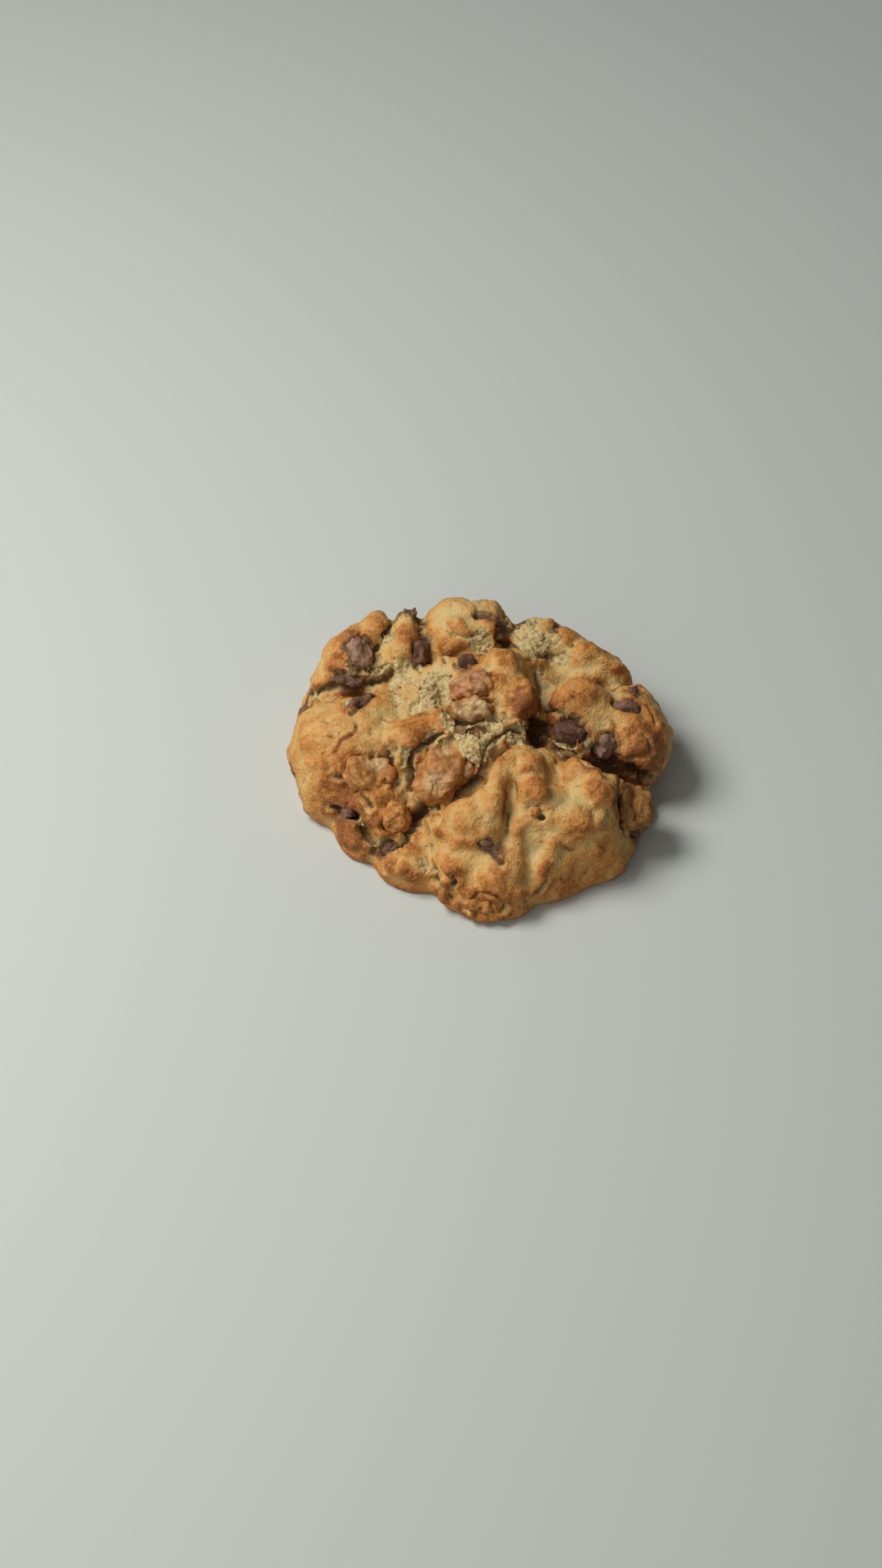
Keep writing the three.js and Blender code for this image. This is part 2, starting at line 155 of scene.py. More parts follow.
# Small pits: how far apart they may be, their seed, how rare and how deep they are, and where their
# sides start and end, as shares of the spacing.
PIT_SPACING = 2.6
PIT_SEED = 61
PIT_RARITY = 0.72
PIT_DEPTH = 0.55
PIT_SIDE = (0.05, 0.24)

# Winding cracks on the sides that face away: their bend (by, size, seed), spacing, seed, width, depth.
CRACK_BEND = (1.6, 6.0, 44)
CRACK_SPACING = 17.0
CRACK_SEED = 47
CRACK_WIDTH = 0.07
CRACK_DEPTH = 2.2

# How ragged the edges of a split, of a hairline crack and of a tear are, and how firmly islands of
# crust stay in a tear.
SPLIT_RAGGED = 0.45
HAIRLINE_RAGGED = 0.3
TEAR_RAGGED = 0.30
ISLAND_HOLD = 0.75

# Where the dough meets a piece: how much farther it opens, all round and by chocolate, how deep it
# goes down under the piece, how far it sinks at the rim, and how deep chocolate presses a streak in.
LAP = 0.15
CHOCOLATE_LAP = 0.2
UNDER_DEPTH = 3.0
RIM_DEPTH = 0.5
STAIN_DEPTH = 0.35

# How brown the crust is everywhere, and how much browner each cause makes it. Shut-in places and hairline
# cracks are browned as painted shade, and so are some tone dabs.
BAKE = 0.44
BROWNING = {
    "lump": 0.28, "edge": 0.34, "low": 0.16, "tone and painted shade": 1.1, "blotches": 1.0,
    "beside split": -0.4, "near tear": -0.2, "hairline": 0.5, "shade when shut in": 0.4,
}

# The first seed of the chocolate and of the walnuts, and the step to the next piece's.
CHOCOLATE_SEEDS = (100, 7)
WALNUT_SEEDS = (300, 9)

# Chocolate relief: the height, size and border of its broken faces, and the height and size of the
# noise over them.
BROKEN_HEIGHT = 1.0
BROKEN_SIZE = 2.6
BROKEN_BORDER = 0.25
CHOCOLATE_NOISE = [(0.5, 3.6), (0.14, 1.2)]

# Walnut relief: how far a kernel swells, how its furrows wind (by, size), the depth, size and width of
# furrows and wrinkles, the size and border of its facets, and the height and size of the noise.
KERNEL_SWELL = 0.3
KERNEL_BEND = (1.4, 5.0)
FURROW_DEPTH = 0.4
FURROW_SIZE = 5.6
FURROW_WIDTH = 0.30
WRINKLE_DEPTH = 0.1
WRINKLE_SIZE = 2.6
WRINKLE_WIDTH = 0.28
FACET_SIZE = 4.4
FACET_BORDER = 0.22
KERNEL_NOISE = [(0.2, 3.0), (0.16, 1.3)]

# The dough on a walnut piece: height and size of the noise of its patches and of its rim.
COAT_NOISE = [(0.5, 4.5), (0.25, 1.8)]
RIM_NOISE = [(0.5, 2.2)]

# Colours in linear light. The crust browns from pale to brown, and painted shade darkens its splits,
# cracks, pits and hollows.
PALE = (0.55, 0.415, 0.175)
CREAM = (0.60, 0.405, 0.150)
GOLD = (0.60, 0.320, 0.090)
ORANGE = (0.50, 0.190, 0.036)
BROWN = (0.26, 0.082, 0.014)
CREVICE_SHADE = (0.13, 0.042, 0.009)
CRUST_STOPS = [(0.0, PALE), (0.28, CREAM), (0.50, GOLD), (0.76, ORANGE), (1.0, BROWN)]
COAT_STOPS = [(0.3, GOLD), (0.5, ORANGE), (0.72, BROWN)]
CRUMB_SHADE = (0.36, 0.26, 0.095)
CRUMB_LIGHT = (0.64, 0.50, 0.25)
LOOSE_SHADE = (0.42, 0.31, 0.12)
LOOSE_LIGHT = (0.60, 0.46, 0.22)

# Chocolate: smeared on crust, melted into it, dark and milk, and the bloom on dark and on milk.
COCOA = (0.125, 0.052, 0.023)
MELTED = (0.085, 0.032, 0.010)
DARK = (0.070, 0.028, 0.013)
MILK = (0.20, 0.105, 0.062)
DARK_BLOOM = (0.14, 0.066, 0.036)
MILK_BLOOM = (0.36, 0.205, 0.130)

# Walnut: kernel, its toasted patches, specks, and furrows darkened as painted shade, its skin and veins,
# flesh, which in one place also paints a highlight, and overbaked, which also paints shade.
KERNEL = (0.54, 0.26, 0.065)
TOASTED = (0.36, 0.125, 0.024)
SPECK = (0.44, 0.150, 0.028)
FURROW_SHADE = (0.20, 0.068, 0.014)
SKIN = (0.42, 0.165, 0.070)
VEIN = (0.60, 0.38, 0.18)
FLESH_AND_HIGHLIGHT = (0.62, 0.42, 0.20)
OVERBAKED_AND_SHADE = (0.10, 0.055, 0.010)

# Loose crumbs: how many and how big, and how they are stretched, turned and roughened, in metres.
CRUMBS = {"Per square metre": 1.2e5, "Smallest": 0.2 * MM, "Largest": 0.6 * MM, "Seed": 7}
LEAST_STRETCH = (0.5, 0.5, 0.3)
MOST_STRETCH = (1.5, 1.0, 0.8)
STRETCH_SEED = 5
MOST_TURN = (6.28, 6.28, 6.28)
TURN_SEED = 9
CRUMB_LUMP = 0.7 * MM
CRUMB_ROUGHNESS = 1.0 * MM

# Lumps raised on the crust: radius, height, route.
BULGES = [
    (3.6, 0.6, [(618, 908), (612, 925), (600, 955), (605, 985), (612, 1008)]),
    (3.4, 0.6, [(655, 916), (650, 940)]),
    (5.0, 3.0, [(634, 908), (638, 926), (636, 945)]),
    (5.0, 2.2, [(604, 928), (596, 948)]),
    (4.4, 1.6, [(668, 914), (674, 932)]),
    (2.6, 1.0, [(602, 935), (598, 944)]),
    (2.4, 0.9, [(622, 946), (618, 956)]),
    (2.4, 0.9, [(590, 968), (596, 978)]),
    (5.0, 1.5, [(640, 965), (655, 960)]),
    (4.8, 1.9, [(726, 962), (745, 973)]),
    (3.2, 1.4, [(720, 940), (728, 946)]),
    (3.0, 0.7, [(685, 928), (690, 934)]),
    (3.0, 0.7, [(708, 925), (712, 928)]),
    (5.0, 1.5, [(700, 1008), (722, 1015)]),
    (4.5, 0.8, [(725, 1045), (745, 1050)]),
    (3.4, 1.6, [(677, 1036), (668, 1065), (660, 1092)]),
    (5.0, 1.4, [(600, 1078), (625, 1096)]),
    (2.3, 1.8, [(537, 1054), (542, 1068), (547, 1086), (546, 1100)]),
    (2.4, 1.4, [(580, 1120), (600, 1127), (615, 1120)]),
    (3.0, 1.2, [(442, 985), (452, 1002), (468, 1020), (478, 1028)]),
    (3.4, 1.2, [(425, 1010), (432, 1030)]),
    (4.0, 1.2, [(480, 1060), (510, 1070)]),
    (3.0, 0.9, [(505, 1045), (515, 1055)]),
    (5.5, 0.9, [(556, 990), (570, 1004)]),
    (2.2, 1.0, [(533, 1018), (541, 1022)]),
    (2.6, 1.1, [(535, 1052), (560, 1062)]),
    (4.0, 1.3, [(690, 776), (700, 780)]),
    (3.4, 1.2, [(712, 788), (724, 796)]),
    (3.6, 1.0, [(738, 806), (746, 816)]),
    (4.0, 0.8, [(495, 775), (490, 785)]),
    (4.6, 0.8, [(485, 798), (482, 808)]),
    (3.2, 0.9, [(560, 762), (566, 770)]),
    (4.4, 0.9, [(600, 800), (622, 808)]),
    (2.0, 1.0, [(590, 811), (592, 813)]),
    (3.0, 0.9, [(548, 795), (560, 789)]),
    (3.6, 1.0, [(640, 835), (648, 855)]),
    (2.6, 1.0, [(622, 860), (632, 868)]),
    (4.2, 1.2, [(512, 878), (532, 890)]),
    (3.4, 1.0, [(455, 968), (470, 975)]),
    (3.0, 1.2, [(462, 1010), (480, 1018)]),
    (2.4, 1.0, [(455, 1036), (462, 1040)]),
    (2.2, 1.4, [(700, 892), (707, 897)]),
    (2.6, 1.0, [(520, 820), (524, 826)]),
    (7.5, 5.0, [(552, 892), (580, 901), (612, 902)]),
    (5.0, 2.4, [(575, 918), (582, 934)]),
    (5.0, 2.4, [(682, 912), (702, 920)]),
    (4.0, 1.6, [(616, 888), (640, 892)]),
]

# Where the dough is knobbly all over: x, y, radius.
KNOBBLY = [
    (430, 985, 6), (455, 1005, 7), (480, 1010, 6), (430, 1025, 7), (480, 1060, 6), (545, 1075, 6),
    (560, 1100, 7), (590, 1115, 6), (640, 840, 5), (610, 800, 5), (650, 900, 5), (790, 940, 6),
    (740, 1000, 5), (480, 950, 5),
]

# Soft hollows between the lumps: radius, depth, route.
HOLLOWS = [
    (2.6, 0.5, [(634, 940), (630, 955), (628, 985)]),
    (2.4, 1.1, [(622, 985), (621, 1010), (619, 1028)]),
    (2.8, 1.5, [(650, 988), (662, 998)]),
    (2.6, 0.6, [(672, 945), (676, 970)]),
    (2.2, 1.0, [(712, 957), (725, 952), (742, 955)]),
    (2.4, 1.0, [(700, 818), (722, 813), (745, 822), (760, 828)]),
    (3.0, 1.2, [(770, 862), (788, 870), (800, 885)]),
    (2.6, 1.2, [(545, 862), (560, 876), (582, 882), (605, 884)]),
    (2.4, 1.4, [(436, 935), (446, 958), (452, 985)]),
    (2.4, 1.2, [(484, 912), (478, 935), (488, 960)]),
    (2.4, 0.8, [(600, 918), (606, 926), (612, 930)]),
    (2.4, 0.8, [(586, 956), (598, 958), (604, 966)]),
    (3.0, 1.1, [(648, 1022), (652, 1050), (645, 1080)]),
    (2.0, 1.0, [(566, 1040), (590, 1048), (612, 1060)]),
]

# Splits and holes in the crust: half width, depth, route.
SPLITS = [
    (1.5, 2.2, [(383, 850), (400, 843), (425, 842), (450, 838), (470, 832), (480, 820)]),
    (1.8, 4.5, [(446, 821), (456, 819)]),
    (0.9, 2.4, [(483, 755), (478, 765), (475, 772), (468, 780)]),
    (1.1, 2.0, [(466, 784), (460, 800), (458, 812), (450, 820)]),
    (1.2, 1.8, [(500, 742), (510, 750), (520, 762), (513, 770), (520, 778), (527, 785)]),
    (0.9, 3.4, [(620, 750), (618, 762), (611, 767), (608, 780)]),
    (1.2, 3.0, [(609, 774), (613, 784), (622, 789)]),
    (0.8, 2.0, [(622, 789), (636, 795)]),
    (1.0, 1.6, [(545, 800), (543, 815)]),
    (0.9, 1.6, [(655, 820), (660, 842), (662, 858)]),
    (1.0, 2.2, [(665, 868), (690, 872), (700, 878)]),
    (2.2, 6.0, [(651, 884), (660, 892), (655, 900)]),
    (1.2, 2.0, [(668, 905), (682, 920), (700, 922), (720, 935), (745, 941), (758, 944)]),
    (2.4, 5.0, [(762, 940), (778, 946), (792, 952), (803, 950)]),
    (0.8, 0.8, [(545, 860), (560, 875), (580, 880), (600, 882), (620, 880), (640, 878), (655, 885)]),
    (1.0, 2.0, [(655, 903), (640, 896), (626, 892), (612, 903), (600, 912), (594, 930), (590, 945)]),
    (1.5, 3.6, [(588, 950), (576, 962), (560, 976), (546, 981)]),
    (2.6, 6.0, [(538, 978), (524, 986), (513, 996), (505, 1008)]),
    (1.7, 4.0, [(503, 1012), (500, 1022), (490, 1032), (474, 1036), (458, 1034)]),
    (1.1, 2.6, [(545, 897), (530, 905), (518, 912), (508, 922), (503, 935), (502, 950), (505, 968),
                (512, 980)]),
    (1.0, 2.0, [(474, 918), (478, 935), (484, 950)]),
    (0.9, 2.2, [(425, 938), (425, 946), (416, 954), (405, 952)]),
    (1.5, 3.4, [(400, 989), (414, 993), (428, 996), (438, 1002)]),
    (1.4, 3.0, [(438, 1002), (445, 1018), (452, 1028), (458, 1034)]),
    (0.8, 1.4, [(437, 970), (441, 985), (450, 995)]),
    (1.4, 3.0, [(451, 1056), (453, 1046), (455, 1034)]),
    (0.8, 1.6, [(468, 1036), (480, 1033)]),
    (1.3, 3.0, [(531, 1060), (535, 1080), (537, 1098)]),
    (0.7, 1.1, [(521, 1000), (528, 1020), (530, 1036), (530, 1050), (533, 1064)]),
    (0.8, 2.6, [(553, 1073), (557, 1080), (554, 1089)]),
    (1.3, 3.0, [(588, 1104), (598, 1110)]),
    (1.0, 2.4, [(566, 1112), (574, 1122)]),
    (0.8, 1.8, [(549, 1094), (555, 1104)]),
    (1.5, 2.2, [(600, 1106), (613, 1108), (620, 1118)]),
    (1.0, 1.8, [(640, 1108), (655, 1100), (668, 1085), (676, 1074)]),
    (1.0, 2.6, [(761, 948), (758, 962), (760, 982), (761, 1000), (763, 1014), (768, 1022)]),
    (0.7, 0.9, [(622, 992), (622, 1010), (620, 1024)]),
    (0.7, 1.2, [(680, 769), (681, 779)]),
    (1.2, 1.6, [(662, 802), (678, 805)]),
    (0.7, 1.4, [(775, 838), (780, 850)]),
    (0.7, 1.4, [(783, 896), (797, 906), (798, 924)]),
    (0.8, 1.2, [(766, 930), (789, 926), (803, 930), (817, 921)]),
    (0.7, 1.0, [(545, 766), (556, 778), (572, 781), (585, 776)]),
    (0.6, 1.0, [(590, 752), (600, 757), (618, 755)]),
    (0.7, 1.2, [(612, 905), (606, 914)]),
]

# Hairline cracks in the crust: half width, depth, route.
HAIRLINES = [
    (0.65, 1.0, [(437, 885), (436, 895), (430, 900), (420, 905), (414, 913), (408, 925)]),
    (0.65, 0.8, [(400, 903), (405, 902), (410, 905)]),
    (0.65, 0.8, [(455, 895), (453, 901)]),
    (0.65, 0.8, [(470, 880), (478, 884), (488, 882)]),
    (0.65, 0.7, [(395, 880), (402, 886)]),
    (0.65, 0.8, [(700, 850), (707, 858)]),
    (0.65, 0.8, [(748, 880), (754, 890), (752, 898)]),
    (0.65, 0.9, [(792, 862), (800, 874), (803, 888)]),
    (0.65, 0.8, [(690, 1036), (699, 1042), (706, 1040)]),
    (0.65, 0.7, [(735, 1035), (742, 1040)]),
]

# Chocolate melted flush into the crust: half width, route.
STAINS = [
    (1.1, [(457, 850), (447, 860), (430, 873)]),
    (1.0, [(588, 1034), (600, 1045), (614, 1056)]),
    (0.8, [(590, 753), (606, 756), (620, 757)]),
    (1.2, [(752, 862), (766, 866), (782, 868)]),
    (1.0, [(776, 838), (783, 846), (779, 853)]),
    (0.7, [(440, 972), (449, 978), (455, 988)]),
    (0.9, [(405, 992), (418, 996), (430, 1000)]),
    (0.9, [(380, 846), (370, 868)]),
    (1.6, [(432, 785), (440, 800)]),
]

# Ridges and hollows on the walnut pieces: radius, height, route.
NUT_RIDGES = [
    (2.4, 1.6, [(430, 925), (434, 944), (448, 957), (462, 962), (476, 952), (484, 935), (482, 920),
                (472, 914)]),
    (2.8, 1.5, [(512, 925), (507, 948), (514, 972), (530, 984)]),
    (2.6, 1.4, [(540, 908), (556, 912), (563, 928), (560, 946), (548, 962)]),
    (2.2, 1.3, [(768, 965), (764, 1000)]),
    (2.2, 1.3, [(790, 975), (793, 1003), (785, 1022)]),
    (1.8, 1.0, [(552, 856), (560, 872), (578, 880)]),
    (1.8, 1.0, [(575, 852), (592, 862), (598, 878)]),
    (1.6, 0.9, [(552, 838), (570, 826), (592, 824)]),
    (1.6, 0.9, [(560, 850), (580, 840), (602, 842)]),
    (1.8, 1.3, [(578, 1100), (582, 1116), (596, 1124), (612, 1122)]),
]
NUT_HOLLOWS = [
    (3.6, 1.2, [(456, 926), (463, 942)]),
    (3.2, 1.3, [(526, 952), (539, 964)]),
    (2.0, 1.3, [(542, 918), (548, 920)]),
    (1.8, 2.0, [(777, 965), (775, 985), (780, 1002)]),
    (1.6, 1.2, [(565, 862), (582, 870)]),
    (2.0, 2.4, [(588, 1103), (598, 1107), (607, 1112)]),
]

# Where the walnut's pale flesh shows: x, y, radius. At (460, 930), in the hollow of the walnut in the left
# cheek, the pale colour also paints a highlight.
FLESH = [(460, 930, 4), (532, 958, 4), (545, 918, 2.5), (572, 868, 4), (590, 866, 3), (573, 949, 4)]

# Where the crust has torn and the pale crumb shows: x, y, radius.
TORN = [
    (628, 902, 3), (645, 905, 3), (662, 908, 2.5), (600, 918, 3), (430, 858, 2.5), (516, 1060, 2.5),
    (478, 780, 3), (480, 845, 5), (505, 850, 7), (525, 851, 6), (490, 825, 5), (465, 822, 4),
    (530, 830, 4), (545, 835, 3), (550, 870, 4), (560, 885, 5), (580, 890, 6), (600, 890, 6),
    (620, 888, 4), (640, 890, 4), (600, 905, 4), (590, 925, 4), (575, 930, 4), (545, 910, 3),
    (530, 905, 3), (490, 930, 4), (492, 950, 3), (560, 950, 3), (640, 905, 3), (655, 905, 3),
    (680, 905, 5), (695, 915, 5), (715, 915, 4), (740, 937, 3), (665, 820, 3), (668, 840, 3),
    (670, 860, 3), (655, 800, 4), (670, 800, 4), (690, 800, 4), (640, 790, 3), (640, 775, 6),
    (655, 785, 4), (675, 785, 4), (620, 770, 3), (610, 785, 3), (590, 785, 4), (430, 812, 4),
    (420, 832, 4), (410, 838, 3), (385, 852, 2), (450, 835, 3), (655, 758, 4), (505, 825, 5),
    (540, 860, 4), (560, 912, 4),
]

# How much dough coats a walnut piece.
COATS = {
    "walnut_right": 0.9, "walnut_foot": 0.7, "walnut_lower_cheek": 0.5, "walnut_split": 0.24,
    "walnut_cheek": 0.08, "walnut_dimple": 0.9, "walnut_crown_skin": 0.12, "walnut_crown": -0.2,
}
PLAIN_COAT = 0.1

# How milky a chocolate piece is, from dark chocolate to milk. The milk on chunk_back_left and
# chunk_right_outer also paints light onto chunks that lie in shade, and chunk_right_inner, which faces the
# key light, is kept dark.
MILK_AND_PAINTED_LIGHT = {"chunk_back_left": 1.0, "chunk_right_outer": 1.0, "chunk_right_inner": 0.0, "chip_crown": 0.0}
PLAIN_MILKY = 0.35

# How far a chocolate piece has sunk into the dough. Streaks haven't.
SUNK = {"chunk_right_inner": 0.6, "chunk_right_outer": 0.5, "chunk_by_knob": 0.2, "chip_crown": 0.1}
PLAIN_SUNK = 0.7

# How far a walnut piece has sunk into the dough, and how far it is darkened: by overbaking, and on
# walnut_right mostly by painted shade for the dark hollow it sits in.
LOWERED = {"walnut_dimple": 0.8, "walnut_crown_skin": 0.5, "walnut_crown": 0.1, "walnut_foot": 0.4}
OVERBAKED_AND_SHADED = {"walnut_right": 0.6, "walnut_foot": 0.15, "walnut_crown": 0.05}

# How craggy a walnut piece is, and the pieces on the crown, which are smoother.
CRAGGY = 1.0
CROWN_CRAGGY = 0.5

# Paler and browner places on the crust: x, y, radius, tone. Some browner dabs paint shade: on the right of
# the crown at (648, 852) and (648, 872), in the hollow under the right lobe at (770, 946) and (785, 948),
# low on the right at (795, 905) and (800, 925), and low on the left cheek at (420, 975).
TONES_AND_SHADE = [
    (598, 934, 6, -0.25), (606, 946, 5, -0.14), (570, 750, 9, -0.12), (600, 745, 7, -0.02),
    (500, 753, 5, -0.40), (488, 798, 5, -0.15), (640, 765, 7, -0.25), (440, 770, 8, 0.16),
    (410, 810, 6, 0.22), (625, 836, 5, 0.12), (638, 858, 5, 0.25), (648, 872, 4, 1.0),
    (648, 852, 4, 1.0), (785, 948, 5, 0.8), (770, 946, 4, 0.8), (536, 1022, 2.2, 0.4),
    (565, 812, 4, 0.15), (600, 870, 4, 0.3), (495, 778, 3.5, 0.22), (562, 768, 5, 0.16),
    (545, 752, 6, -0.14), (585, 775, 6, -0.12), (695, 778, 5, 0.12), (655, 790, 7, -0.12),
    (690, 805, 6, -0.16), (540, 815, 6, -0.18), (710, 792, 5, 0.15), (715, 840, 8, -0.05),
    (705, 860, 6, 0.12), (795, 865, 9, 0.12), (795, 905, 8, 0.34), (800, 925, 6, 0.3),
    (620, 805, 6, 0.12), (635, 868, 5, 0.12), (450, 880, 10, -0.02),
    (400, 900, 9, 0.02), (400, 935, 8, 0.18), (420, 975, 7, 0.75), (450, 990, 7, 0.2),
    (480, 1010, 6, 0.2), (425, 1018, 8, 0.42), (515, 882, 7, 0.30), (640, 900, 5, 0.10),
    (612, 940, 4, 0.04), (650, 960, 5, 0.16), (735, 968, 6, 0.2), (725, 942, 4, 0.15),
    (663, 988, 6, 0.05), (680, 1000, 7, -0.15), (700, 985, 6, -0.20), (720, 1062, 8, 0.16),
    (715, 838, 7, 0.24), (705, 1010, 7, 0.25), (700, 1045, 6, 0.05), (745, 1045, 7, 0.15),
    (745, 845, 4, -0.2), (755, 850, 3, -0.15), (635, 985, 5, -0.15), (560, 1000, 7, -0.05),
    (560, 1030, 7, 0.12), (600, 1078, 9, 0.10), (668, 1065, 4, 0.15), (620, 1108, 7, 0.10),
    (560, 1100, 8, 0.12), (500, 1065, 8, 0.08), (550, 1065, 4, 0.2), (690, 1085, 6, 0.15),
]

CHOCOLATE = [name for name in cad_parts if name.startswith(("chunk", "chip", "streak"))]
STREAKS = [name for name in CHOCOLATE if name.startswith("streak")]
WALNUTS = [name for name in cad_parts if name.startswith("walnut")]


def smoothstep(low, high, value):
    share = np.clip((value - low) / (high - low), 0.0, 1.0)
    return share * share * (3.0 - 2.0 * share)


# Repeatable noise.

GRADIENTS = np.random.default_rng(GRADIENT_SEED).normal(size=(GRADIENT_COUNT, 3))
GRADIENTS /= np.linalg.norm(GRADIENTS, axis=1)[:, None]


def scrambled(lattice, seed):
    """A repeatable whole number for each lattice point."""
    x, y, z = (lattice.astype(np.int64).T & 0xFFFFFFFF).astype(np.uint64)
    mixed = (x * 73856093) ^ (y * 19349663) ^ (z * 83492791) ^ np.uint64(seed * 2654435761 % 2**32)
    mixed = (mixed & 0xFFFFFFFF) * 2246822519 & 0xFFFFFFFF
    mixed = (mixed ^ (mixed >> 15)) * 3266489917 & 0xFFFFFFFF
    return mixed ^ (mixed >> 13)


def noise(points, size, seed):
    """Smooth noise from about -1 to 1 whose lumps are about size across."""
    place = points / size
    cell = np.floor(place)
    inside = place - cell
    fade = inside ** 3 * (inside * (inside * 6.0 - 15.0) + 10.0)
    total = np.zeros(len(points))
    for corner in itertools.product((0, 1), repeat=3):
        gradient = GRADIENTS[(scrambled(cell + corner, seed) % GRADIENT_COUNT).astype(int)]
        weight = np.prod(np.where(np.array(corner) == 1, fade, 1.0 - fade), axis=1)
        total += weight * np.einsum("ij,ij->i", gradient, inside - corner)
    return NOISE_STRETCH * total


def cells(points, size, seed):
    """Distances to the nearest and the next spot of a scatter about size apart, and the nearest's value."""
    place = points / size
    cell = np.floor(place)
    nearest = np.full(len(points), np.inf)
    second = np.full(len(points), np.inf)
    value = np.zeros(len(points))
    for step in itertools.product((-1, 0, 1), repeat=3):
        corner = cell + step
        key = scrambled(corner, seed)
        jitter = np.stack([(key >> shift & 255).astype(float) / 255.0 for shift in (0, 8, 16)], axis=1)
        distance = np.linalg.norm(corner + jitter - place, axis=1)
        closer = distance < nearest
        second = np.where(closer, nearest, np.minimum(second, distance))
        value = np.where(closer, (key >> 24 & 255).astype(float) / 255.0, value)
        nearest = np.minimum(nearest, distance)
    return nearest, second, value


def layered(points, layers, start=0.0):
    """Layers of noise added up on top of start. A layer is its height, size and seed."""
    return sum((height * noise(points, size, seed) for height, size, seed in layers), start)


def creased(points, layers, level):
    """Rounded lumps with sharp creases between them, which lie level below the middle."""
    return sum(height * (np.abs(noise(points, size, seed)) - level) for height, size, seed in layers)


def seeded(layers, seed):
    """Layers of a height and size each, with the seeds that follow from the first."""
    return [(height, size, seed + number) for number, (height, size) in enumerate(layers)]


def furrowed(points, size, width, seed):
    """1 along winding lines and 0 beyond their width."""
    return 1.0 - smoothstep(0.0, width, np.abs(noise(points, size, seed)))


def bent(points, by, size, seed):
    """The points pushed about by noise, so that what is drawn at them winds."""
    return points + by * np.stack([noise(points, size, seed + i) for i in range(3)], axis=1)


def chunky(points, height, size, seed, border):
    """Lumps that each stand at a level of their own and meet at 0, and how far inside one each point is."""
    nearest, following, value = cells(points, size, seed)
    inside = following - nearest
    return height * (value - 0.5) * smoothstep(0.0, border, inside), inside


# Meshes as arrays.

def points_of(mesh):
    flat = np.empty(len(mesh.vertices) * 3)
    mesh.vertices.foreach_get("co", flat)
    return flat.reshape(-1, 3)


def normals_of(mesh):
    flat = np.empty(len(mesh.vertices) * 3)
    mesh.vertex_normals.foreach_get("vector", flat)
    return flat.reshape(-1, 3)


def set_points(mesh, points):
    mesh.vertices.foreach_set("co", points.ravel())
    mesh.update()


class Net:
    """A mesh's edges, along which values are blurred."""

    def __init__(self, mesh):
        flat = np.empty(len(mesh.edges) * 2, dtype=np.int32)
        mesh.edges.foreach_get("vertices", flat)
        self.ends = flat.reshape(-1, 2).T
        self.size = len(mesh.vertices)
        self.degree = np.maximum(np.bincount(flat, minlength=self.size), 1)

    def blur(self, values, times):
        if values.ndim == 2:
            return np.stack([self.blur(column, times) for column in values.T], axis=1)
        first, last = self.ends
        for _ in range(times):
            total = np.bincount(first, values[last], self.size)
            total += np.bincount(last, values[first], self.size)
            values = 0.5 * values + 0.5 * total / self.degree
        return values


def unit(vectors):
    return vectors / np.maximum(np.linalg.norm(vectors, axis=1), 1e-9)[:, None]


def tree_of(mesh):
    return BVHTree.FromPolygons([v.co[:] for v in mesh.vertices], [p.vertices[:] for p in mesh.polygons])


def merged_copy(name):
    """A CAD node's mesh in millimetres, with its loose triangles joined up."""
    build = bmesh.new()
    build.from_mesh(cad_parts[name].data)
    bmesh.ops.remove_doubles(build, verts=build.verts, dist=1e-6)
    build.transform(Matrix.Scale(1.0 / MM, 4))
    mesh = bpy.data.meshes.new(name)
    build.to_mesh(mesh)
    build.free()
    return mesh


def joined(meshes):
    build = bmesh.new()
    for mesh in meshes:
        build.from_mesh(mesh)
    mesh = bpy.data.meshes.new("joined")
    build.to_mesh(mesh)
    build.free()
    return mesh


def linked(name, data):
    """A new object of this data, in the scene."""
    thing = bpy.data.objects.new(name, data)
    bpy.context.scene.collection.objects.link(thing)
    return thing


def evaluated(thing):
    """The mesh that an object's modifier makes. The object itself is removed."""
    graph = bpy.context.evaluated_depsgraph_get()
    mesh = bpy.data.meshes.new_from_object(thing.evaluated_get(graph))
    bpy.data.objects.remove(thing)
    return mesh


def remeshed(mesh, voxel):
    """A new mesh of even faces, about voxel across, over the same shape."""
    holder = linked("holder", mesh)
    modifier = holder.modifiers.new("even", "REMESH")
    modifier.mode = "VOXEL"
    modifier.voxel_size = voxel
    return evaluated(holder)


def thinned(mesh):
    """The mesh with its least telling faces merged away, down to MOST_TRIANGLES."""
    holder = linked("holder", mesh)
    modifier = holder.modifiers.new("thin", "DECIMATE")
    modifier.ratio = MOST_TRIANGLES / sum(len(face.vertices) - 2 for face in mesh.polygons)
    return evaluated(holder)


def store(mesh, name, values):
    """Keeps a value for each point of the mesh, for its finish to read."""
    attribute = mesh.attributes.new(name, "FLOAT", "POINT")
    attribute.data.foreach_set("value", np.asarray(values, dtype=np.float32))


# Strokes on the surface.

def ray_through(x, y):
    right = (x - MIDDLE_PIXEL[0]) / LENS_PIXELS
    up = (MIDDLE_PIXEL[1] - y) / LENS_PIXELS
    return Vector(FORWARD + right * np.array([1.0, 0.0, 0.0]) + up * UPWARD).normalized()


def landed(tree, route):
    """The places on the surface that the camera sees along a route of pixels."""
    places = []
    for (x0, y0), (x1, y1) in zip(route, route[1:]):
        steps = max(1, math.ceil(math.hypot(x1 - x0, y1 - y0) / STROKE_STEP))
        for step in range(steps + 1):
            share = step / steps
            hit = tree.ray_cast(Vector(EYE), ray_through(x0 + share * (x1 - x0), y0 + share * (y1 - y0)))[0]
            if hit is not None:
                places.append(np.array(hit))
    return places


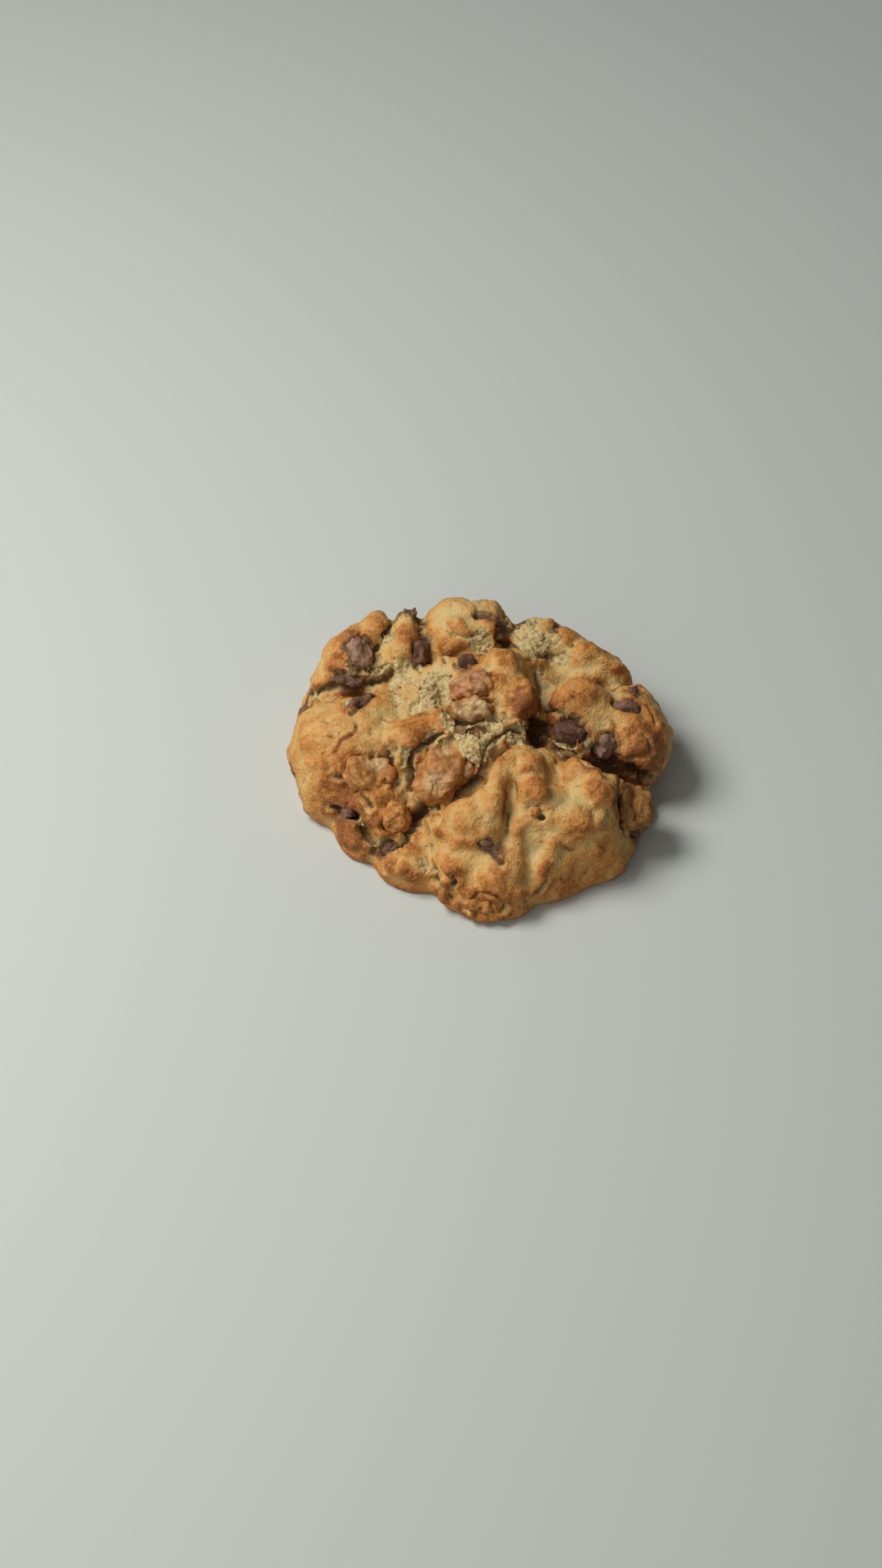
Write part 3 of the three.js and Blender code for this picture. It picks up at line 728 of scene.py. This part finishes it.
def near_route(points, places, reach):
    """The points within reach of a route: their indexes, distances from it and distances from its ends."""
    low = np.min(places, axis=0) - reach
    high = np.max(places, axis=0) + reach
    near = np.flatnonzero(np.all((points > low) & (points < high), axis=1))
    chosen = points[near]
    distance = np.full(len(near), np.inf)
    for start, end in zip(places, places[1:]):
        way = end - start
        length = np.linalg.norm(way)
        if length > LONGEST_STEP:
            continue
        share = np.clip((chosen - start) @ way / max(length ** 2, 1e-9), 0.0, 1.0)
        distance = np.minimum(distance, np.linalg.norm(chosen - start - share[:, None] * way, axis=1))
    ends = np.minimum(*(np.linalg.norm(chosen - places[i], axis=1) for i in (0, -1)))
    kept = distance < reach
    return near[kept], distance[kept], ends[kept]


def raised(points, tree, strokes):
    """How far each stroke lifts each point, all strokes together."""
    lift = np.zeros(len(points))
    warp = layered(points, STROKE_WARP, 1.0)
    for radius, height, route in strokes:
        places = landed(tree, route)
        if len(places) < 2:
            continue
        near, distance, _ = near_route(points, places, 1.4 * radius)
        share = np.clip(1.0 - (distance * warp[near] / radius) ** 2, 0.0, 1.0)
        lift[near] = np.maximum(lift[near], height * share ** 1.5)
    return lift


def cut(points, tree, strokes, ragged):
    """How deep each stroke cuts each point. The cuts are sharp, ragged and shallow at their ends."""
    depth = np.zeros(len(points))
    wobble = layered(points, SPLIT_WOBBLE)
    for half_width, deep, route in strokes:
        places = landed(tree, route)
        if len(places) < 2:
            continue
        reach = 2.2 * half_width
        near, distance, ends = near_route(points, places, reach)
        width = half_width * (1.0 + ragged * wobble[near])
        share = np.clip(1.0 - distance / np.maximum(width, 0.2), 0.0, 1.0)
        ease = smoothstep(0.0, 1.5 * half_width + 0.4, ends + 0.4 * half_width)
        depth[near] = np.maximum(depth[near], deep * share ** 0.8 * ease)
    return depth


def dabbed(points, tree, dabs):
    """The strongest of the round dabs at each point, and the sum of their values."""
    strongest = np.zeros(len(points))
    total = np.zeros(len(points))
    for x, y, radius, *value in dabs:
        hit = tree.ray_cast(Vector(EYE), ray_through(x, y))[0]
        if hit is None:
            continue
        distance = np.linalg.norm(points - np.array(hit), axis=1)
        share = 1.0 - smoothstep(0.35 * radius, 1.25 * radius, distance)
        strongest = np.maximum(strongest, share)
        total += share * (value[0] if value else 1.0)
    return strongest, total


# The dough.

def swollen(mesh, by):
    set_points(mesh, points_of(mesh) + by * normals_of(mesh))
    return mesh


def carried_over(sets, mesh, tree, points):
    """Each set of values of a coarse mesh's points, at other points near its surface."""
    corners = [list(polygon.vertices) for polygon in mesh.polygons]
    nearest = [tree.find_nearest(Vector(point))[2] for point in points]
    return [np.array([values[corner].mean() for corner in corners])[nearest] for values in sets]


def shut_in(mesh):
    """The share of the open air near each point that the shape itself hides."""
    tree = tree_of(mesh)
    spread = np.random.default_rng(AIR_SEED).normal(size=(AIR_RAYS, 3))
    spread = [Vector(way) for way in unit(spread)]
    hidden = np.zeros(len(mesh.vertices))
    for index, (point, facing) in enumerate(zip(points_of(mesh), normals_of(mesh))):
        normal = Vector(facing)
        start = Vector(point) + AIR_START * normal
        weighed = [(way.dot(normal), way) for way in spread]
        outward = [(weight, way) for weight, way in weighed if weight > AIR_LEAST]
        closed = sum(weight for weight, way in outward if tree.ray_cast(start, way, AIR_REACH)[0])
        hidden[index] = closed / sum(weight for weight, _ in outward)
    return hidden


def dough_block():
    """The lumps of the dough with its pockets filled.

    It comes with each point's distance from the CAD dough, and with how shut in each point is.
    """
    plain = merged_copy("dough")
    fillings = [swollen(merged_copy(name), POCKET_FILL) for name in CHOCOLATE + WALNUTS]
    block = remeshed(joined([plain] + fillings), BLOCK_VOXEL)
    points = points_of(block)
    plain_tree = tree_of(plain)
    cover = np.array([plain_tree.find_nearest(Vector(point))[3] for point in points])
    net = Net(block)
    smooth = net.blur(points, FACET_BLUR)
    smooth[:, 2] = np.where(points[:, 2] < BASE_HEIGHT, points[:, 2], smooth[:, 2])
    set_points(block, smooth)
    tree = tree_of(block)
    lift = raised(smooth, tree, BULGES) - raised(smooth, tree, HOLLOWS)
    lift += creased(smooth, DOUGH_LUMPS, LUMP_LEVEL)
    knobbly, _ = dabbed(smooth, tree, KNOBBLY)
    lift += knobbly * (creased(smooth, KNOBS, KNOB_LEVEL) + layered(smooth, KNOB_GRAIN))
    lift *= (1.0 - smoothstep(0.5, 1.6, cover)) * smoothstep(0.3, 3.0, smooth[:, 2])
    facing = unit(net.blur(normals_of(block), BLOCK_FACING_BLUR))
    set_points(block, smooth + lift[:, None] * facing)
    return block, cover, net.blur(shut_in(block), SHUT_BLUR)


def turned_away(facing):
    """How far each point faces away from the photograph's camera, from 0 to 1."""
    return smoothstep(-0.1, 0.35, facing @ FORWARD)


def split_depth(points, facing, tree):
    """How deep the crust is split, by the strokes in front and by winding cracks on the far sides."""
    nearest, following, _ = cells(bent(points, *CRACK_BEND), CRACK_SPACING, CRACK_SEED)
    crack = 1.0 - smoothstep(0.0, CRACK_WIDTH, following - nearest)
    patches = smoothstep(-0.1, 0.25, layered(points, FAR_CRACKS))
    far_crack = CRACK_DEPTH * crack * turned_away(facing) * patches
    return np.maximum(cut(points, tree, SPLITS, SPLIT_RAGGED), far_crack)


def torn_share(points, facing, near_torn, beside_split, ragged):
    """How far the crust is torn: by the dabs in front, in patches on the far sides, and beside splits."""
    island = smoothstep(0.0, 0.45, layered(points, TEAR_ISLANDS))
    by_dabs = smoothstep(0.26, 0.46, near_torn + TEAR_RAGGED * ragged - ISLAND_HOLD * island)
    patches = smoothstep(0.55, 0.75, layered(points, FAR_TEARS) + 0.25 * ragged)
    far_sides = 0.9 * turned_away(facing) * patches
    lips = 0.8 * beside_split * smoothstep(-0.4, 0.4, ragged)
    return np.maximum(np.maximum(by_dabs, far_sides), lips)


def crumbly(points):
    """The relief of torn crumb: coarse and fine lumps, with gaps between the coarse ones."""
    coarse, inside = chunky(points, *COARSE_CRUMB)
    fine, _ = chunky(points, *FINE_CRUMB)
    relief = coarse - CRUMB_DEPTH
    relief += fine + layered(points, CRUMB_GRAIN)
    return relief - CRUMB_GAP_DEPTH * (1.0 - smoothstep(0.0, CRUMB_GAP_WIDTH, inside))


def pitted(points):
    """Scattered round pits: 1 in the middle of each and 0 between them."""
    nearest, _, value = cells(points, PIT_SPACING, PIT_SEED)
    return np.where(value > PIT_RARITY, 1.0 - smoothstep(*PIT_SIDE, nearest), 0.0)


def stained(points, tree):
    """How strongly the flush streaks of chocolate stain each point."""
    stain = np.zeros(len(points))
    edge = layered(points, STAIN_EDGE)
    for half_width, route in STAINS:
        places = landed(tree, route)
        if len(places) < 2:
            continue
        near, distance, _ = near_route(points, places, 2.0 * half_width)
        share = 1.0 - smoothstep(0.5, 1.1, distance / half_width + edge[near])
        stain[near] = np.maximum(stain[near], share)
    return stain


def distance_to(names, points):
    """How far each point is from the nearest of the named pieces. Beyond FAR it isn't measured."""
    nearest = np.full(len(points), FAR)
    for name in names:
        piece = merged_copy(name)
        corners = points_of(piece)
        tree = tree_of(piece)
        low, high = corners.min(axis=0) - FAR, corners.max(axis=0) + FAR
        near = np.flatnonzero(np.all((points > low) & (points < high), axis=1))
        distance = np.array([tree.find_nearest(Vector(point))[3] for point in points[near]])
        nearest[near] = np.minimum(nearest[near], distance)
    return nearest


def dough_mesh():
    """The crust's mesh, shaped, with the values that its finish is coloured by."""
    block, block_cover, block_shut = dough_block()
    tree = tree_of(block)
    mesh = remeshed(block, FINE_VOXEL)
    points = points_of(mesh)
    net = Net(mesh)
    cover, shut = carried_over([block_cover, block_shut], block, tree, points)
    facing = unit(net.blur(normals_of(mesh), CRUST_FACING_BLUR))

    near_torn, _ = dabbed(points, tree, TORN)
    ragged = layered(points, TEAR_EDGE)
    split = split_depth(points, facing, tree)
    hairline = cut(points, tree, HAIRLINES, HAIRLINE_RAGGED)
    beside_split = smoothstep(0.0, 1.2, net.blur(split, LIP_BLUR))
    torn = torn_share(points, facing, near_torn, beside_split, ragged)
    pits = pitted(points)
    stain = stained(points, tree)

    # Where a piece lies under the surface, the dough goes down beneath it.
    to_chocolate = distance_to(CHOCOLATE, points)
    to_piece = np.minimum(to_chocolate, distance_to(WALNUTS, points))
    lap = layered(points, LAP_EDGE, cover) + LAP
    lap += CHOCOLATE_LAP * (1.0 - smoothstep(0.1, 1.9, to_chocolate))
    under_piece = smoothstep(0.55, 1.35, lap) * (1.0 - smoothstep(0.8, 1.4, to_piece))

    shift = torn * crumbly(points) - split - hairline
    shift -= PIT_DEPTH * pits * (0.15 + 0.85 * torn)
    shift += layered(points, CRUST_GRAIN)
    shift -= STAIN_DEPTH * stain
    shift -= RIM_DEPTH * (1.0 - smoothstep(0.2, 2.0, to_piece))
    above = smoothstep(0.2, 2.5, points[:, 2])
    shift = shift * above * (1.0 - under_piece) - UNDER_DEPTH * under_piece
    shaped = points + shift[:, None] * facing
    shaped[:, 2] = np.maximum(shaped[:, 2], 0.0)
    set_points(mesh, shaped)

    # How far each point stands out from what is round it, over a wide and over a close reach.
    wide = np.einsum("ij,ij->i", shaped - net.blur(shaped, WIDE_BLUR), facing)
    close = np.einsum("ij,ij->i", shaped - net.blur(shaped, CLOSE_BLUR), facing)
    low = 1.0 - smoothstep(2.0, 13.0, points[:, 2])
    causes = {
        "lump": wide,
        "edge": close,
        "low": low,
        "tone and painted shade": dabbed(points, tree, TONES_AND_SHADE)[1],
        "blotches": layered(points, BLOTCHES),
        "beside split": beside_split,
        "near tear": near_torn,
        # Painted shade: hairline cracks and shut-in places are browned.
        "hairline": np.minimum(hairline, 1.0),
        "shade when shut in": smoothstep(0.22, 0.60, shut),
    }
    bake = BAKE + sum(BROWNING[cause] * values for cause, values in causes.items())
    # Painted shade: darker in deep splits, hairline cracks, pits in torn crumb, concave creases and shut-in
    # hollows.
    cavity_shade = np.maximum(0.7 * smoothstep(0.2, 0.8, -close), smoothstep(0.40, 0.72, shut + 0.05 * ragged))
    depth = smoothstep(0.5, 2.4, split) + hairline + 0.6 * pits * torn + cavity_shade
    store(mesh, "bake", np.clip(bake, 0.0, 1.0))
    store(mesh, "torn", torn * (1.0 - low))
    store(mesh, "smear", 1.0 - smoothstep(0.2, 2.1, layered(points, SMEAR_EDGE, to_chocolate)))
    store(mesh, "stain", stain)
    store(mesh, "depth", np.clip(depth, 0.0, 1.0))
    return thinned(mesh)


# Chocolate and walnuts.

def chocolate_mesh(name, seed):
    """A chopped lump, broken on its open side."""
    mesh = remeshed(merged_copy(name), CHOCOLATE_VOXEL)
    net = Net(mesh)
    points = net.blur(points_of(mesh), PIECE_BLUR)
    set_points(mesh, points)
    facing = unit(net.blur(normals_of(mesh), CHOCOLATE_FACING_BLUR))
    faces, _ = chunky(points, BROKEN_HEIGHT, BROKEN_SIZE, seed, BROKEN_BORDER)
    lift = layered(points, seeded(CHOCOLATE_NOISE, seed + 1), faces)
    lift -= SUNK.get(name, 0.0 if name in STREAKS else PLAIN_SUNK)
    set_points(mesh, points + lift[:, None] * facing)
    store(mesh, "milk_and_painted_light", np.full(len(points), MILK_AND_PAINTED_LIGHT.get(name, PLAIN_MILKY)))
    return mesh


def walnut_mesh(name, seed, dough_tree):
    """A wrinkled kernel, with furrows between rounded ridges."""
    mesh = remeshed(merged_copy(name), WALNUT_VOXEL)
    net = Net(mesh)
    points = net.blur(points_of(mesh), PIECE_BLUR)
    set_points(mesh, points)
    tree = tree_of(mesh)
    facing = unit(net.blur(normals_of(mesh), WALNUT_FACING_BLUR))
    winding = bent(points, *KERNEL_BEND, seed)
    furrow = furrowed(winding, FURROW_SIZE, FURROW_WIDTH, seed + 4)
    wrinkle = furrowed(winding, WRINKLE_SIZE, WRINKLE_WIDTH, seed + 5)
    craggy = CROWN_CRAGGY if name.startswith("walnut_crown") else CRAGGY
    facets, _ = chunky(winding, craggy, FACET_SIZE, seed + 6, FACET_BORDER)
    hollow = raised(points, tree, NUT_HOLLOWS)
    lift = KERNEL_SWELL - FURROW_DEPTH * furrow - WRINKLE_DEPTH * wrinkle + facets
    lift += layered(points, seeded(KERNEL_NOISE, seed + 7))
    lift -= LOWERED.get(name, 0.0)
    lift += raised(points, tree, NUT_RIDGES) - hollow
    set_points(mesh, points + lift[:, None] * facing)

    # A coat of dough lies in patches and along the rim, where the kernel goes into the crust.
    patches = layered(points, seeded(COAT_NOISE, seed + 9), COATS.get(name, PLAIN_COAT))
    clear = np.array([dough_tree.find_nearest(Vector(point))[3] for point in points])
    rim = 1.0 - smoothstep(0.4, 1.8, layered(points, seeded(RIM_NOISE, seed + 11), clear))
    # Painted shade: furrows, wrinkles and hollows are darkened.
    store(mesh, "furrow", np.clip(furrow + 0.4 * wrinkle + smoothstep(0.6, 1.8, hollow), 0.0, 1.6))
    store(mesh, "coat", np.maximum(smoothstep(0.3, 0.6, patches), rim))
    store(mesh, "flesh_and_highlight", dabbed(points, tree, FLESH)[0])
    store(mesh, "skin", np.full(len(points), 1.0 if name == "walnut_crown_skin" else 0.0))
    store(mesh, "overbaked_and_shaded", np.full(len(points), OVERBAKED_AND_SHADED.get(name, 0.0)))
    return mesh


# Finishes.

def opaque(value):
    """A colour with the full alpha that a socket takes. Anything else stays as it is."""
    return (*value, 1.0) if isinstance(value, tuple) else value


class Wire:
    """A socket's value in a finish. An expression on wires adds the Math nodes that it needs."""

    def __init__(self, finish, socket):
        self.finish = finish
        self.socket = socket

    def combined(self, operation, first, second):
        return self.finish.node("ShaderNodeMath", {"operation": operation}, {0: first, 1: second})

    def __add__(self, other):
        return self.combined("ADD", self, other)

    def __sub__(self, other):
        return self.combined("SUBTRACT", self, other)

    def __rsub__(self, other):
        return self.combined("SUBTRACT", other, self)

    def __mul__(self, other):
        return self.combined("MULTIPLY", self, other)

    __radd__ = __add__
    __rmul__ = __mul__


class Finish:
    """A material while its nodes are wired."""

    def __init__(self, name):
        self.material = bpy.data.materials.new(name)
        self.material.use_nodes = True
        self.tree = self.material.node_tree
        self.tree.nodes.clear()

    def node(self, kind, settings, sockets, output=0):
        """Adds a node, makes its settings, sets or links its sockets, and gives one output as a wire."""
        node = self.tree.nodes.new(kind)
        for name, value in settings.items():
            setattr(node, name, value)
        for key, value in sockets.items():
            if isinstance(value, Wire):
                self.tree.links.new(value.socket, node.inputs[key])
            else:
                node.inputs[key].default_value = value
        return Wire(self, node.outputs[output]) if node.outputs else None

    def place(self):
        return self.node("ShaderNodeTexCoord", {}, {}, "Object")

    def attribute(self, name):
        return self.node("ShaderNodeAttribute", {"attribute_name": name}, {}, "Fac")

    def grain(self, size, detail=2.0, rough=0.5):
        """Noise from 0 to 1 whose grains are about size millimetres across."""
        sockets = {"Vector": self.place(), "Scale": 1.0 / (size * MM), "Detail": detail, "Roughness": rough}
        return self.node("ShaderNodeTexNoise", {}, sockets, "Fac")

    def ramp(self, factor, stops):
        """The colour at factor among stops, each a place from 0 to 1 and its colour."""
        wire = self.node("ShaderNodeValToRGB", {}, {"Fac": factor}, "Color")
        elements = wire.socket.node.color_ramp.elements
        while len(elements) < len(stops):
            elements.new(0.5)
        for element, (position, color) in zip(elements, stops):
            element.position = position
            element.color = opaque(color)
        return wire

    def step(self, value, low, high):
        """0 below low, 1 above high and a smooth rise between them."""
        sockets = {"Value": value, "From Min": low, "From Max": high}
        return self.node("ShaderNodeMapRange", {"interpolation_type": "SMOOTHSTEP"}, sockets)

    def mix(self, factor, first, second):
        """The first colour where factor is 0 and the second where it is 1."""
        sockets = {0: factor, 6: opaque(first), 7: opaque(second)}
        return self.node("ShaderNodeMix", {"data_type": "RGBA"}, sockets, 2)

    def bump(self, height, distance):
        """Relief that is distance millimetres high where height is 1."""
        sockets = {"Height": height, "Distance": distance * MM, "Strength": 1.0}
        return self.node("ShaderNodeBump", {}, sockets)

    def surface(self, sockets):
        shader = self.node("ShaderNodeBsdfPrincipled", {}, sockets)
        self.node("ShaderNodeOutputMaterial", {}, {"Surface": shader})
        return self.material


def crust_finish():
    finish = Finish("baked crust")
    torn = finish.attribute("torn")
    speckle = finish.grain(1.5, 3.0, 0.6)
    sand = finish.grain(0.75, 2.0, 0.6)
    blotch = finish.grain(6.0, 3.0, 0.55)
    pore = finish.step(finish.grain(2.0, 2.0, 0.5), 0.66, 0.74)
    toasted = finish.attribute("bake") + 0.35 * (speckle - 0.5) + 0.4 * (sand - 0.5) + 0.5 * (blotch - 0.5)
    crumb = finish.mix(finish.step(speckle + 0.5 * sand, 0.55, 0.9), CRUMB_SHADE, CRUMB_LIGHT)
    color = finish.mix(torn * 0.85, finish.ramp(toasted, CRUST_STOPS), crumb)
    color = finish.mix(finish.step(finish.attribute("smear"), 0.2, 1.0) * 0.75, color, COCOA)
    color = finish.mix(finish.attribute("stain") * 0.92, color, MELTED)
    # Painted shade: pores are darkened towards brown, more in torn crumb.
    color = finish.mix((0.25 + 0.45 * torn) * pore, color, BROWN)
    # Painted shade: darker in the splits, cracks, pits and hollows.
    color = finish.mix(finish.attribute("depth") * 0.8, color, CREVICE_SHADE)
    return finish.surface({
        "Base Color": color,
        "Roughness": 0.62 + 0.25 * torn,
        "Specular IOR Level": 0.35,
        "Subsurface Weight": 0.08,
        "Subsurface Radius": (1.0, 0.5, 0.2),
        "Subsurface Scale": 1.2 * MM,
        "Normal": finish.bump(1.2 * sand + 0.5 * speckle - 0.8 * pore, 0.3),
    })


def crumb_finish():
    finish = Finish("loose crumb")
    return finish.surface({
        "Base Color": finish.mix(finish.step(finish.grain(1.6), 0.35, 0.65), LOOSE_SHADE, LOOSE_LIGHT),
        "Roughness": 0.9,
        "Specular IOR Level": 0.3,
        "Normal": finish.bump(finish.grain(0.3), 0.08),
    })


def chocolate_finish():
    finish = Finish("dull chocolate")
    bloom = finish.step(finish.grain(2.6, 3.0, 0.6), 0.40, 0.64)
    # Milk lightens the chocolate. On the chunks in shade this is painted light.
    milk_and_painted_light = finish.attribute("milk_and_painted_light")
    plain = finish.mix(milk_and_painted_light, DARK, MILK)
    bloomed = finish.mix(milk_and_painted_light, DARK_BLOOM, MILK_BLOOM)
    return finish.surface({
        "Base Color": finish.mix(bloom, plain, bloomed),
        "Roughness": 0.62 + 0.12 * bloom,
        "Specular IOR Level": 0.3,
        "Normal": finish.bump(finish.grain(0.6, 3.0, 0.6), 0.2),
    })


def walnut_finish():
    finish = Finish("toasted walnut")
    flesh_and_highlight = finish.attribute("flesh_and_highlight")
    coat = finish.attribute("coat")
    patch = finish.step(finish.grain(3.4, 3.0, 0.55), 0.38, 0.64)
    swirl = finish.grain(3.6, 2.0, 0.5) - 0.5
    vein = 1 - finish.step(swirl * swirl, 0.0, 0.006)
    speckle = finish.grain(1.2, 3.0, 0.6)
    kernel = finish.mix(patch, KERNEL, TOASTED)
    kernel = finish.mix(finish.attribute("skin") * 0.85, kernel, finish.mix(vein * 0.6, SKIN, VEIN))
    kernel = finish.mix(finish.step(speckle, 0.45, 0.62) * 0.55, kernel, SPECK)
    # Painted shade in the furrows, wrinkles and hollows.
    kernel = finish.mix(finish.attribute("furrow") * 0.45, kernel, FURROW_SHADE)
    color = finish.mix(coat * 0.85, kernel, finish.ramp(speckle, COAT_STOPS))
    # Pale flesh, which at one place in the left cheek walnut is also a painted highlight.
    color = finish.mix(flesh_and_highlight * 0.75, color, FLESH_AND_HIGHLIGHT)
    # Darkened by overbaking, and on walnut_right by painted shade.
    color = finish.mix(finish.attribute("overbaked_and_shaded"), color, OVERBAKED_AND_SHADE)
    relief = finish.grain(0.8, 3.0, 0.6) + (1.0 + coat) * speckle
    return finish.surface({
        "Base Color": color,
        "Roughness": 0.52 - 0.2 * flesh_and_highlight + 0.25 * coat,
        "Specular IOR Level": 0.45,
        "Normal": finish.bump(relief, 0.25),
    })


# Pieces.

def made(name, mesh, material):
    """A finished piece in metres, riding on the cookie's one body."""
    mesh.transform(Matrix.Scale(MM, 4))
    mesh.shade_smooth()
    mesh.materials.clear()
    mesh.materials.append(material)
    piece = linked(name, mesh)
    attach(piece, "root")
    return piece


def crumb_tree(material):
    """Geometry nodes that scatter crumbs where the crust has torn."""
    tree = bpy.data.node_groups.new("crumbs", "GeometryNodeTree")
    tree.interface.new_socket("Geometry", in_out="INPUT", socket_type="NodeSocketGeometry")
    for name in ("Per square metre", "Smallest", "Largest"):
        tree.interface.new_socket(name, in_out="INPUT", socket_type="NodeSocketFloat")
    tree.interface.new_socket("Seed", in_out="INPUT", socket_type="NodeSocketInt")
    tree.interface.new_socket("Geometry", in_out="OUTPUT", socket_type="NodeSocketGeometry")

    def node(kind, sockets, settings=None):
        """Adds a node, sets or links its sockets, makes its settings, and gives its outputs."""
        added = tree.nodes.new(kind)
        for name, value in (settings or {}).items():
            setattr(added, name, value)
        for key, value in sockets.items():
            if isinstance(value, bpy.types.NodeSocket):
                tree.links.new(value, added.inputs[key])
            else:
                added.inputs[key].default_value = value
        return added.outputs

    def between(kind, least, most, seed):
        """A random value for each crumb, between least and most."""
        first, second, output = {"FLOAT_VECTOR": (0, 1, 0), "FLOAT": (2, 3, 1)}[kind]
        sockets = {first: least, second: most, "Seed": seed}
        return node("FunctionNodeRandomValue", sockets, {"data_type": kind})[output]

    def vector_math(operation, sockets):
        return node("ShaderNodeVectorMath", sockets, {"operation": operation})["Vector"]

    given = node("NodeGroupInput", {})
    seed = given["Seed"]
    torn = node("GeometryNodeInputNamedAttribute", {"Name": "torn"}, {"data_type": "FLOAT"})["Attribute"]
    density = node("ShaderNodeMath", {0: torn, 1: given["Per square metre"]}, {"operation": "MULTIPLY"})[0]
    spots = node("GeometryNodeDistributePointsOnFaces", {
        "Mesh": given["Geometry"],
        "Density": density,
        "Seed": seed,
    })
    size = between("FLOAT", given["Smallest"], given["Largest"], seed)
    stretch = between("FLOAT_VECTOR", LEAST_STRETCH, MOST_STRETCH, STRETCH_SEED)
    scale = vector_math("SCALE", {0: stretch, "Scale": size})
    placed = node("GeometryNodeInstanceOnPoints", {
        "Points": spots["Points"],
        "Instance": node("GeometryNodeMeshIcoSphere", {"Radius": 1.0, "Subdivisions": 2})["Mesh"],
        "Rotation": between("FLOAT_VECTOR", (0.0, 0.0, 0.0), MOST_TURN, TURN_SEED),
        "Scale": scale,
    })
    real = node("GeometryNodeRealizeInstances", {"Geometry": placed["Instances"]})["Geometry"]
    lumpy = node("ShaderNodeTexNoise", {"Scale": 1.0 / CRUMB_LUMP, "Detail": 1.0})["Color"]
    centred = vector_math("SUBTRACT", {0: lumpy, 1: (0.5, 0.5, 0.5)})
    offset = vector_math("SCALE", {0: centred, "Scale": CRUMB_ROUGHNESS})
    rough = node("GeometryNodeSetPosition", {"Geometry": real, "Offset": offset})["Geometry"]
    done = node("GeometryNodeSetMaterial", {"Geometry": rough, "Material": material})["Geometry"]
    node("NodeGroupOutput", {"Geometry": done})
    return tree


def crumbs(dough, material):
    """Loose crumbs lying on the torn places of the crust, as one piece."""
    tree = crumb_tree(material)
    scatter = linked("scatter", dough.data.copy())
    modifier = scatter.modifiers.new("crumbs", "NODES")
    modifier.node_group = tree
    for item in tree.interface.items_tree:
        if item.in_out == "INPUT" and item.name in CRUMBS:
            modifier[item.identifier] = CRUMBS[item.name]
    mesh = evaluated(scatter)
    mesh.shade_smooth()
    piece = linked("crumbs", mesh)
    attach(piece, "root")


# The studio.

def aimed(name, data, place, facing):
    """An object at a place, turned so that it looks along facing."""
    thing = linked(name, data)
    thing.location = place
    thing.rotation_euler = Vector(facing).to_track_quat("-Z", "Y").to_euler()
    return thing


def studio():
    """A pale floor, soft lights that face the cookie, and a faint sky."""
    corners = [(-FLOOR_HALF, -FLOOR_HALF, 0), (FLOOR_HALF, -FLOOR_HALF, 0)]
    corners += [(FLOOR_HALF, FLOOR_HALF, 0), (-FLOOR_HALF, FLOOR_HALF, 0)]
    mesh = bpy.data.meshes.new("floor")
    mesh.from_pydata(corners, [], [(0, 1, 2, 3)])
    finish = Finish("pale floor")
    sockets = {"Base Color": opaque(FLOOR_COLOR), "Roughness": FLOOR_ROUGHNESS}
    mesh.materials.append(finish.surface(sockets))
    floor = linked("floor", mesh)

    for name, (size, power, place) in LIGHTS.items():
        light = bpy.data.lights.new(name, "AREA")
        light.size = size
        light.energy = power
        aimed(name, light, place, -Vector(place))

    world = bpy.data.worlds.new("studio")
    world.use_nodes = True
    background = world.node_tree.nodes["Background"]
    background.inputs["Color"].default_value = opaque(SKY_COLOR)
    background.inputs["Strength"].default_value = SKY_STRENGTH
    bpy.context.scene.world = world
    bpy.context.scene.view_settings.view_transform = "Standard"


def camera():
    """The photograph's camera."""
    lens = bpy.data.cameras.new("camera")
    lens.sensor_fit = "VERTICAL"
    lens.sensor_height = SENSOR_HEIGHT
    lens.lens = LENS_PIXELS * SENSOR_HEIGHT / FRAME_HEIGHT
    lens.clip_start, lens.clip_end = CLIP_METRES
    bpy.context.scene.camera = aimed("camera", lens, EYE * MM, FORWARD)


crust = made("crust", dough_mesh(), crust_finish())
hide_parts("dough")
crumbs(crust, crumb_finish())
chocolate = chocolate_finish()
for name, seed in zip(CHOCOLATE, itertools.count(*CHOCOLATE_SEEDS)):
    piece = made(name + "_look", chocolate_mesh(name, seed), chocolate)
    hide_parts(name)
walnut = walnut_finish()
cad_dough = tree_of(merged_copy("dough"))
for name, seed in zip(WALNUTS, itertools.count(*WALNUT_SEEDS)):
    piece = made(name + "_look", walnut_mesh(name, seed, cad_dough), walnut)
    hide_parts(name)
studio()
camera()
